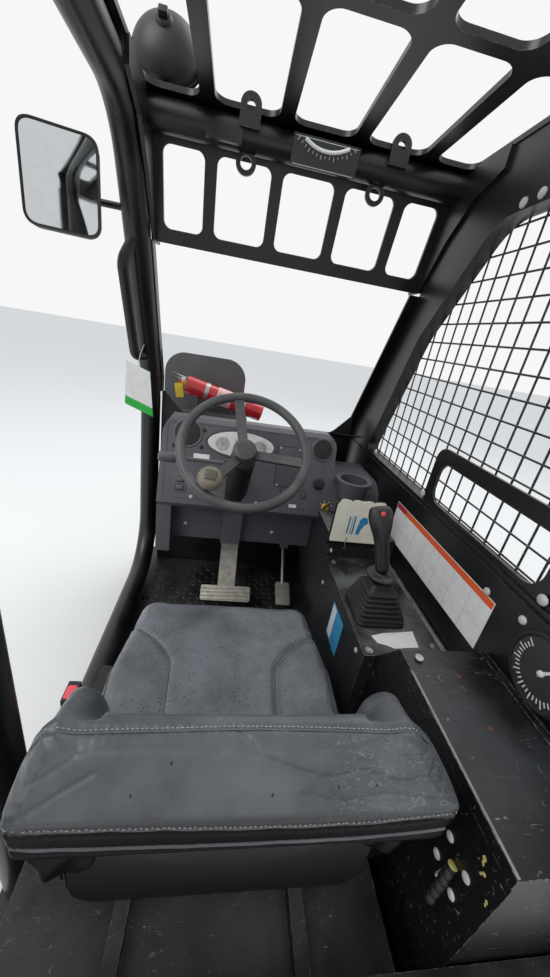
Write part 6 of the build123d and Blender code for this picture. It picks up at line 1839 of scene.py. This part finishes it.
BACK_SEAMS = (
    Seam(((-362.0, 655.0), (-328.0, 655.0), (-193.0, 651.0), (-70.0, 645.0), (64.0, 645.0), (150.0, 653.0),
          (206.0, 660.0)), depth=3.6, width=5.5, pucker=0.6, piping=2.2),
    Seam(((-362.0, 622.0), (-328.0, 619.0), (-193.0, 613.0), (-70.0, 610.0), (64.0, 611.0), (150.0, 618.0),
          (206.0, 626.0)), depth=3.0, width=6.0, pucker=0.3, piping=2.6, stitches=False),
    Seam(((-344.0, -412.0), (-200.0, -410.0), (-80.0, -408.0), (60.0, -410.0), (174.0, -413.0)), depth=2.4,
         width=5.0, pucker=0.5, piping=1.2, above=800.0),
    Seam(((-150.0, 730.0), (-90.0, 722.0), (-40.0, 708.0), (19.0, 699.0), (60.0, 703.0), (110.0, 695.0),
          (172.0, 698.0)), depth=1.8, width=3.5, pucker=0.4, stitches=False),
    Seam(((-20.0, 688.0), (40.0, 682.0), (90.0, 686.0), (170.0, 680.0)), depth=1.4, width=3.0, pucker=0.3,
         stitches=False),
    Seam(((30.0, 715.0), (80.0, 710.0), (120.0, 713.0), (168.0, 709.0)), depth=1.3, width=3.0, pucker=0.3,
         stitches=False),
    Seam(((-352.0, 668.0), (-300.0, 690.0), (-262.0, 705.0)), depth=1.4, width=3.0, pucker=0.2,
         stitches=False),
    Seam(((-350.0, 684.0), (-320.0, 700.0), (-285.0, 716.0)), depth=1.2, width=3.0, pucker=0.2,
         stitches=False),
)


@dataclass
class Upholstery:
    """The seat's two padded pieces: vinyl over foam, blown up by a cloth simulation and then sewn."""

    cab: Cab
    cushion_voxel: float = 6.0
    back_voxel: float = 5.0
    pressure: float = 4.0
    last_frame: int = 20
    most: float = 8.0                          # how far a point may move in the simulation
    proud: float = 3.0                         # how far it may leave the solid's box
    start_size: float = 0.995
    sink_from: float = 668.0
    sink: float = 0.78
    middle: float = -95.0                      # of the seat, across
    wing_middle: float = 219.0
    wing_half: float = 35.0
    wing_dip: float = 14.0
    wing_arch: float = 42.0
    wing_back: Flat = (-400.0, -360.0)         # where the wings begin to sink, along the cab
    wing_inside: Flat = (172.0, 186.0)         # the same, out from the middle
    wing_foot: Flat = (600.0, 710.0)           # the same, upwards
    lean: tuple[Flat, Flat] = ((0.0, 15.0), (12.0, 24.0))   # left and right end, high and low
    lean_height: Flat = (735.0, 665.0)
    lean_inside: Flat = (150.0, 270.0)
    easing: int = 12                           # passes that round the solid's corners
    pucker_pitch: float = 13.0
    pucker_drift: Flat = (2.0, 0.05)           # how far and how fast the puckers' pitch wanders
    piping_lift: float = 0.5
    stitch: float = 5.5
    stitch_aside: float = 2.4
    stitch_lift: float = 0.35
    shell_at: Point = (-93.0, -461.0, 524.0)
    shell_size: Flat = (404.0, 158.0)
    shell_corner: float = 44.0
    arms_x: Flat = (-309.5, 111.5)
    tail_y: float = -464.0
    tail_top: float = 600.0
    tail_length: float = 60.0
    tail_swing: float = 5.0
    tail_fold: float = 7.0
    left_tail: tuple[Flat, ...] = ((-336.0, 612.0), (-337.0, 578.0), (-325.0, 552.0), (-312.0, 538.0),
                                   (-290.0, 540.0), (-276.0, 553.0), (-258.0, 566.0), (-246.0, 612.0))
    right_tail: tuple[Flat, ...] = ((66.0, 612.0), (84.0, 582.0), (104.0, 562.0), (126.0, 556.0),
                                    (146.0, 570.0), (164.0, 612.0))

    def blown(self, node: str, name: str, voxel: float) -> Piece:
        """Swell a copy of a solid into a padded form.

        Args:
            node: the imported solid.
            name: the new piece's name.
            voxel: how fine its mesh is, in millimetres.

        Returns:
            The new piece, with its modifiers applied.
        """
        low, high = corners(node)
        piece = bpy.data.objects.new(name, self.cab.frame["nodes"][node].data.copy())
        bpy.context.scene.collection.objects.link(piece)
        middle = metres((low + high) / 2)
        with editing(piece):
            bpy.ops.mesh.select_all(action="SELECT")
            bpy.ops.mesh.remove_doubles(threshold=0.05 * MM)
            bpy.ops.transform.resize(value=(self.start_size,) * 3, center_override=middle)
        remesh = piece.modifiers.new("skin", "REMESH")
        remesh.mode = "VOXEL"
        remesh.voxel_size = voxel * MM
        ease = piece.modifiers.new("ease", "SMOOTH")
        ease.factor = 0.5
        ease.iterations = self.easing
        apply_all(piece)
        start = [vertex.co.copy() for vertex in piece.data.vertices]
        cloth = piece.modifiers.new("air", "CLOTH")
        cloth.settings.use_pressure = True
        cloth.settings.uniform_pressure_force = self.pressure
        cloth.settings.effector_weights.gravity = 0.0
        for frame in range(1, self.last_frame + 1):
            bpy.context.scene.frame_set(frame)
        apply_all(piece)
        bpy.context.scene.frame_set(1)
        for vertex, place in zip(piece.data.vertices, start):
            step = vertex.co - place
            if step.length > self.most * MM:
                step = step.normalized() * self.most * MM
            vertex.co = place + step
            for axis in range(3):
                margin = 0.0 if axis == 2 else self.proud
                vertex.co[axis] = min(max(vertex.co[axis], (low[axis] - margin) * MM),
                                      (high[axis] + self.proud) * MM)
        return smoothed(piece, 1)

    def slump(self, back: Piece) -> None:
        """Let the back's top sink, its wings round off and its ends lean over, as worn foam does."""
        for vertex in back.data.vertices:
            x, y, z = vertex.co / MM
            if z > self.sink_from:
                z = self.sink_from + (z - self.sink_from) * self.sink
            aside = abs(x - self.middle)
            forward = progress(y, *self.wing_back) * progress(aside, *self.wing_inside)
            arch = self.wing_dip + self.wing_arch * ((aside - self.wing_middle) / self.wing_half) ** 2
            z -= forward * arch * progress(z, *self.wing_foot)
            high, low = self.lean[x > self.middle]
            leaning = high + (low - high) * progress(z, *self.lean_height)
            vertex.co = Vector((x + progress(aside, *self.lean_inside) * leaning, y, z)) * MM
        back.data.update()

    def tail(self, name: str, outline: Iterable[Flat]) -> None:
        """Hang a slack end of the cover under the back.

        Args:
            name: the new piece's name.
            outline: its corners, across and up, in millimetres.
        """
        across, up = (sum(places) / len(places) for places in zip(*outline))
        edge = round_corners([(x - across, z - up) for x, z in outline], 5.0, 3)
        flap = moved(pillow(name, edge, 3.0, 3.0, 9), seated((across, self.tail_y, up), BACK))
        for vertex in flap.data.vertices:
            slack = max(0.0, self.tail_top - vertex.co.z / MM) / self.tail_length
            fold = math.sin(vertex.co.x / MM / self.tail_fold + 3.0 * slack)
            vertex.co.y -= self.tail_swing * slack * (1.0 + fold) * MM
        self.cab.place(smoothed(flap, 1), "seat vinyl back", body="seat_back", smooth=80.0)

    def shell(self) -> None:
        """The black moulded shell behind the back, with its two hinge arms."""
        outline = round_corners(rectangle(*self.shell_size), self.shell_corner, 8)
        skin = pillow("seat_back_shell", outline, 7.0, 3.0, 8)
        # the shell's finish is darker than the other black plastic, as painted shade
        self.cab.place(moved(skin, seated(self.shell_at, BACK)), "seat shell plastic",
                       body="seat_back", stands_for=("back_frame",), smooth=60.0)
        arms = []
        for x in self.arms_x:
            arm = box("arm", (x, -448.0, 441.0), (x + 8.0, -414.0, 500.0))
            pin = disc("pin", 13.0, 14.0, 28)
            arms += [soften(arm, 3.0, 3), moved(pin, seated((x - 3.0, -425.0, 454.0), RIGHT))]
        self.cab.place(joined("seat_back_arms", arms), "satin enamel frame", body="seat_back")

    def dropped(self, piece: Piece, seam: Seam) -> list[tuple[Vector, Vector]]:
        """Places and normals of a seam on the surface of a piece."""
        points, way = seam.line()
        found = []
        for place in flowing(points, 3.0):
            hit, at, normal, _ = piece.ray_cast(place - way * 0.4, way)
            if hit:
                found.append((at, normal))
        return found

    def sew(self, piece: Piece, seam: Seam) -> list[tuple[Vector, Vector]]:
        """Pull the skin in along one seam, with small puckers across it.

        Args:
            piece: the padded piece.
            seam: the line and how deep it pulls.

        Returns:
            Places and normals of the seam, at the bottom of its groove.
        """
        line = self.dropped(piece, seam)
        tree = KDTree(len(line))
        for index, (place, _) in enumerate(line):
            tree.insert(place, index)
        tree.balance()
        run = [0.0]
        for (start, _), (end, _) in zip(line, line[1:]):
            run.append(run[-1] + (end - start).length / MM)
        drift, rate = self.pucker_drift
        normals = [vertex.normal.copy() for vertex in piece.data.vertices]
        for vertex, normal in zip(piece.data.vertices, normals):
            _, index, away = tree.find(vertex.co)
            away /= MM
            if away < 4 * seam.width:
                groove = seam.depth * math.exp(-(away / seam.width) ** 2)
                wander = drift * math.sin(rate * run[index])
                wave = math.sin(2 * math.pi * run[index] / self.pucker_pitch + wander)
                fold = seam.pucker * wave * math.exp(-(away / (2 * seam.width)) ** 2)
                vertex.co -= normal * (groove + fold) * MM
        piece.data.update()
        return self.dropped(piece, seam)

    def trim(self, name: str, piece: Piece, seams: Iterable[Seam], body: str) -> None:
        """Sew every seam of a piece and lay its piping and stitches."""
        pipings, stitches = [], []
        for seam in seams:
            line = self.sew(piece, seam)
            if seam.piping:
                places = [(at + normal * self.piping_lift * MM) / MM for at, normal in line[::4]]
                pipings.append(pipe("piping", places, seam.piping, sides=2))
            if seam.stitches:
                stitches += self.stitching(piece, line, seam)
        if pipings:
            self.cab.place(joined(f"{name}_piping", pipings), "seat vinyl piping", body=body, smooth=60.0)
        if stitches:
            thread = lathe("thread", ((0.0, -2.0), (0.6, -1.5), (0.75, 0.0), (0.6, 1.5), (0.0, 2.0)), 6)
            self.cab.place(repeated(f"{name}_stitches", thread, stitches), "polyester thread", body=body,
                           smooth=60.0)

    def stitching(self, piece: Piece, line: list[tuple[Vector, Vector]], seam: Seam) -> list[Matrix]:
        """Frames of the stitches beside a seam, each lying along it on the cover.

        Args:
            piece: the padded piece.
            line: the seam's places and normals.
            seam: the seam.

        Returns:
            The frames.
        """
        frames, run = [], 0.0
        for (start, normal), (end, _) in zip(line, line[1:]):
            step = end - start
            run += step.length / MM
            if run >= self.stitch and step.length > 0:
                run = 0.0
                aside = normal.cross(step).normalized()
                place = start + aside * (seam.piping + self.stitch_aside) * MM
                hit, place, normal, _ = piece.ray_cast(place + normal * 15 * MM, -normal)
                if hit:
                    frames.append(seated((place + normal * self.stitch_lift * MM) / MM, step))
        return frames

    def buckle(self) -> None:
        """The red button in the belt buckle's top."""
        low, high = corners("belt_buckle")
        button = pillow("belt_button", round_corners(rectangle(19.0, 30.0), 4.0, 4), 2.0, 1.5, 4)
        at = (low.x + 12.0, high.y - 26.0, high.z - 0.3)
        self.cab.place(moved(button, seated(at, UP)), "red button", body="seat_slide", smooth=60.0)

    def build(self) -> None:
        """Make the cushion and the back."""
        self.buckle()
        cushion = self.blown("seat_cushion", "seat_cushion_pad", self.cushion_voxel)
        self.trim("cushion", cushion, CUSHION_SEAMS, "seat_slide")
        self.cab.place(cushion, "seat vinyl cushion", body="seat_slide", stands_for=("seat_cushion",),
                       smooth=80.0)
        back = self.blown("back_cushion", "back_cushion_pad", self.back_voxel)
        self.slump(back)
        self.trim("back", back, BACK_SEAMS, "seat_back")
        self.cab.place(back, "seat vinyl back", body="seat_back", stands_for=("back_cushion",), smooth=80.0)
        self.tail("cover_tail_left", self.left_tail)
        self.tail("cover_tail_right", self.right_tail)
        self.shell()


@dataclass
class Studio:
    """The camera, the floor and the lights. The camera is the one fitted to the photograph."""

    eye: Point = (-155.0, -700.0, 1188.0)
    right: Point = (0.98264, -0.09898, 0.15692)
    up: Point = (-0.10375, 0.40798, 0.90708)
    lens: float = 13.12                        # for a 36 mm sensor along the picture's height
    floor_half: float = 30000.0
    lamps: tuple[tuple[Point, float, float], ...] = (((-2500.0, -1500.0, 3800.0), 2.5, 90.0),
                                                     ((1800.0, 2200.0, 4200.0), 3.0, 70.0))

    def camera(self) -> None:
        """Set up the camera."""
        bpy.ops.object.camera_add()
        eye = bpy.context.active_object
        right, up = Vector(self.right), Vector(self.up)
        basis = Matrix((right, up, right.cross(up))).transposed().to_4x4()
        eye.matrix_world = Matrix.Translation(metres(self.eye)) @ basis
        eye.data.lens = self.lens
        eye.data.sensor_width = 36.0
        eye.data.clip_start = 0.01
        bpy.context.scene.camera = eye

    def floor(self) -> None:
        """Lay a wide pale floor under the cab."""
        bpy.ops.mesh.primitive_plane_add(size=2 * self.floor_half * MM, location=(0, 0, -0.5 * MM))
        floor = name_active("floor")
        finish = PlainCoat("studio floor", "#d9d8d5", 0.9, dirt=0.05, dirt_colour="#c9c8c5")
        floor.data.materials.append(finish.material())

    def lights(self) -> None:
        """Light the cab with a plain pale sky and two large lamps."""
        world = bpy.data.worlds.new("sky")
        bpy.context.scene.world = world
        world.use_nodes = True
        tree = world.node_tree
        tree.nodes.clear()
        rays = add(tree, "LightPath").outputs
        seen = add(tree, "Math", {0: rays["Is Camera Ray"], 1: rays["Is Transmission Ray"]},
                   operation="MAXIMUM")
        seen = add(tree, "Math", {0: seen, 1: rays["Is Glossy Ray"]}, operation="MAXIMUM")
        way = add(tree, "TexCoord").outputs["Generated"]
        height = add(tree, "SeparateXYZ", {0: way}).outputs["Z"]
        level = add(tree, "MapRange",
                    {"Value": height, "From Min": -0.1, "From Max": 0.9, "To Min": 0.42, "To Max": 1.4})
        dim = add(tree, "Background", {"Color": linear("#e9eef5"), "Strength": level})
        white = add(tree, "Background", {"Color": (1, 1, 1, 1), "Strength": 0.93})
        mixed = add(tree, "MixShader", {0: seen, 1: dim, 2: white})
        add(tree, "OutputWorld", {"Surface": mixed})
        for place, size, power in self.lamps:
            bpy.ops.object.light_add(type="AREA", location=metres(place))
            lamp = bpy.context.active_object
            lamp.data.size = size
            lamp.data.energy = power
            aim = metres((0.0, 0.0, 700.0)) - lamp.location
            lamp.rotation_euler = aim.to_track_quat("-Z", "Y").to_euler()

    def build(self) -> None:
        """Set up the whole studio."""
        self.camera()
        self.floor()
        self.lights()
        bpy.context.scene.view_settings.view_transform = "Standard"


def main() -> None:
    """Build the cab's looks in order."""
    logging.basicConfig(level=logging.INFO, format="%(message)s")
    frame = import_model()
    cab = Cab(frame, Paintbox())
    Studio().build()
    dress_nodes(cab)
    for part in (TreadPlate, WireScreen, MirrorFace, WorkLampTrim, SlopeGauges, RightWall, Dash, Steering,
                 Joystick, Console, ChartBook, PedalPads, Extinguisher, HangingTag, Upholstery):
        part(cab).build()


if __name__ == "__main__":
    main()
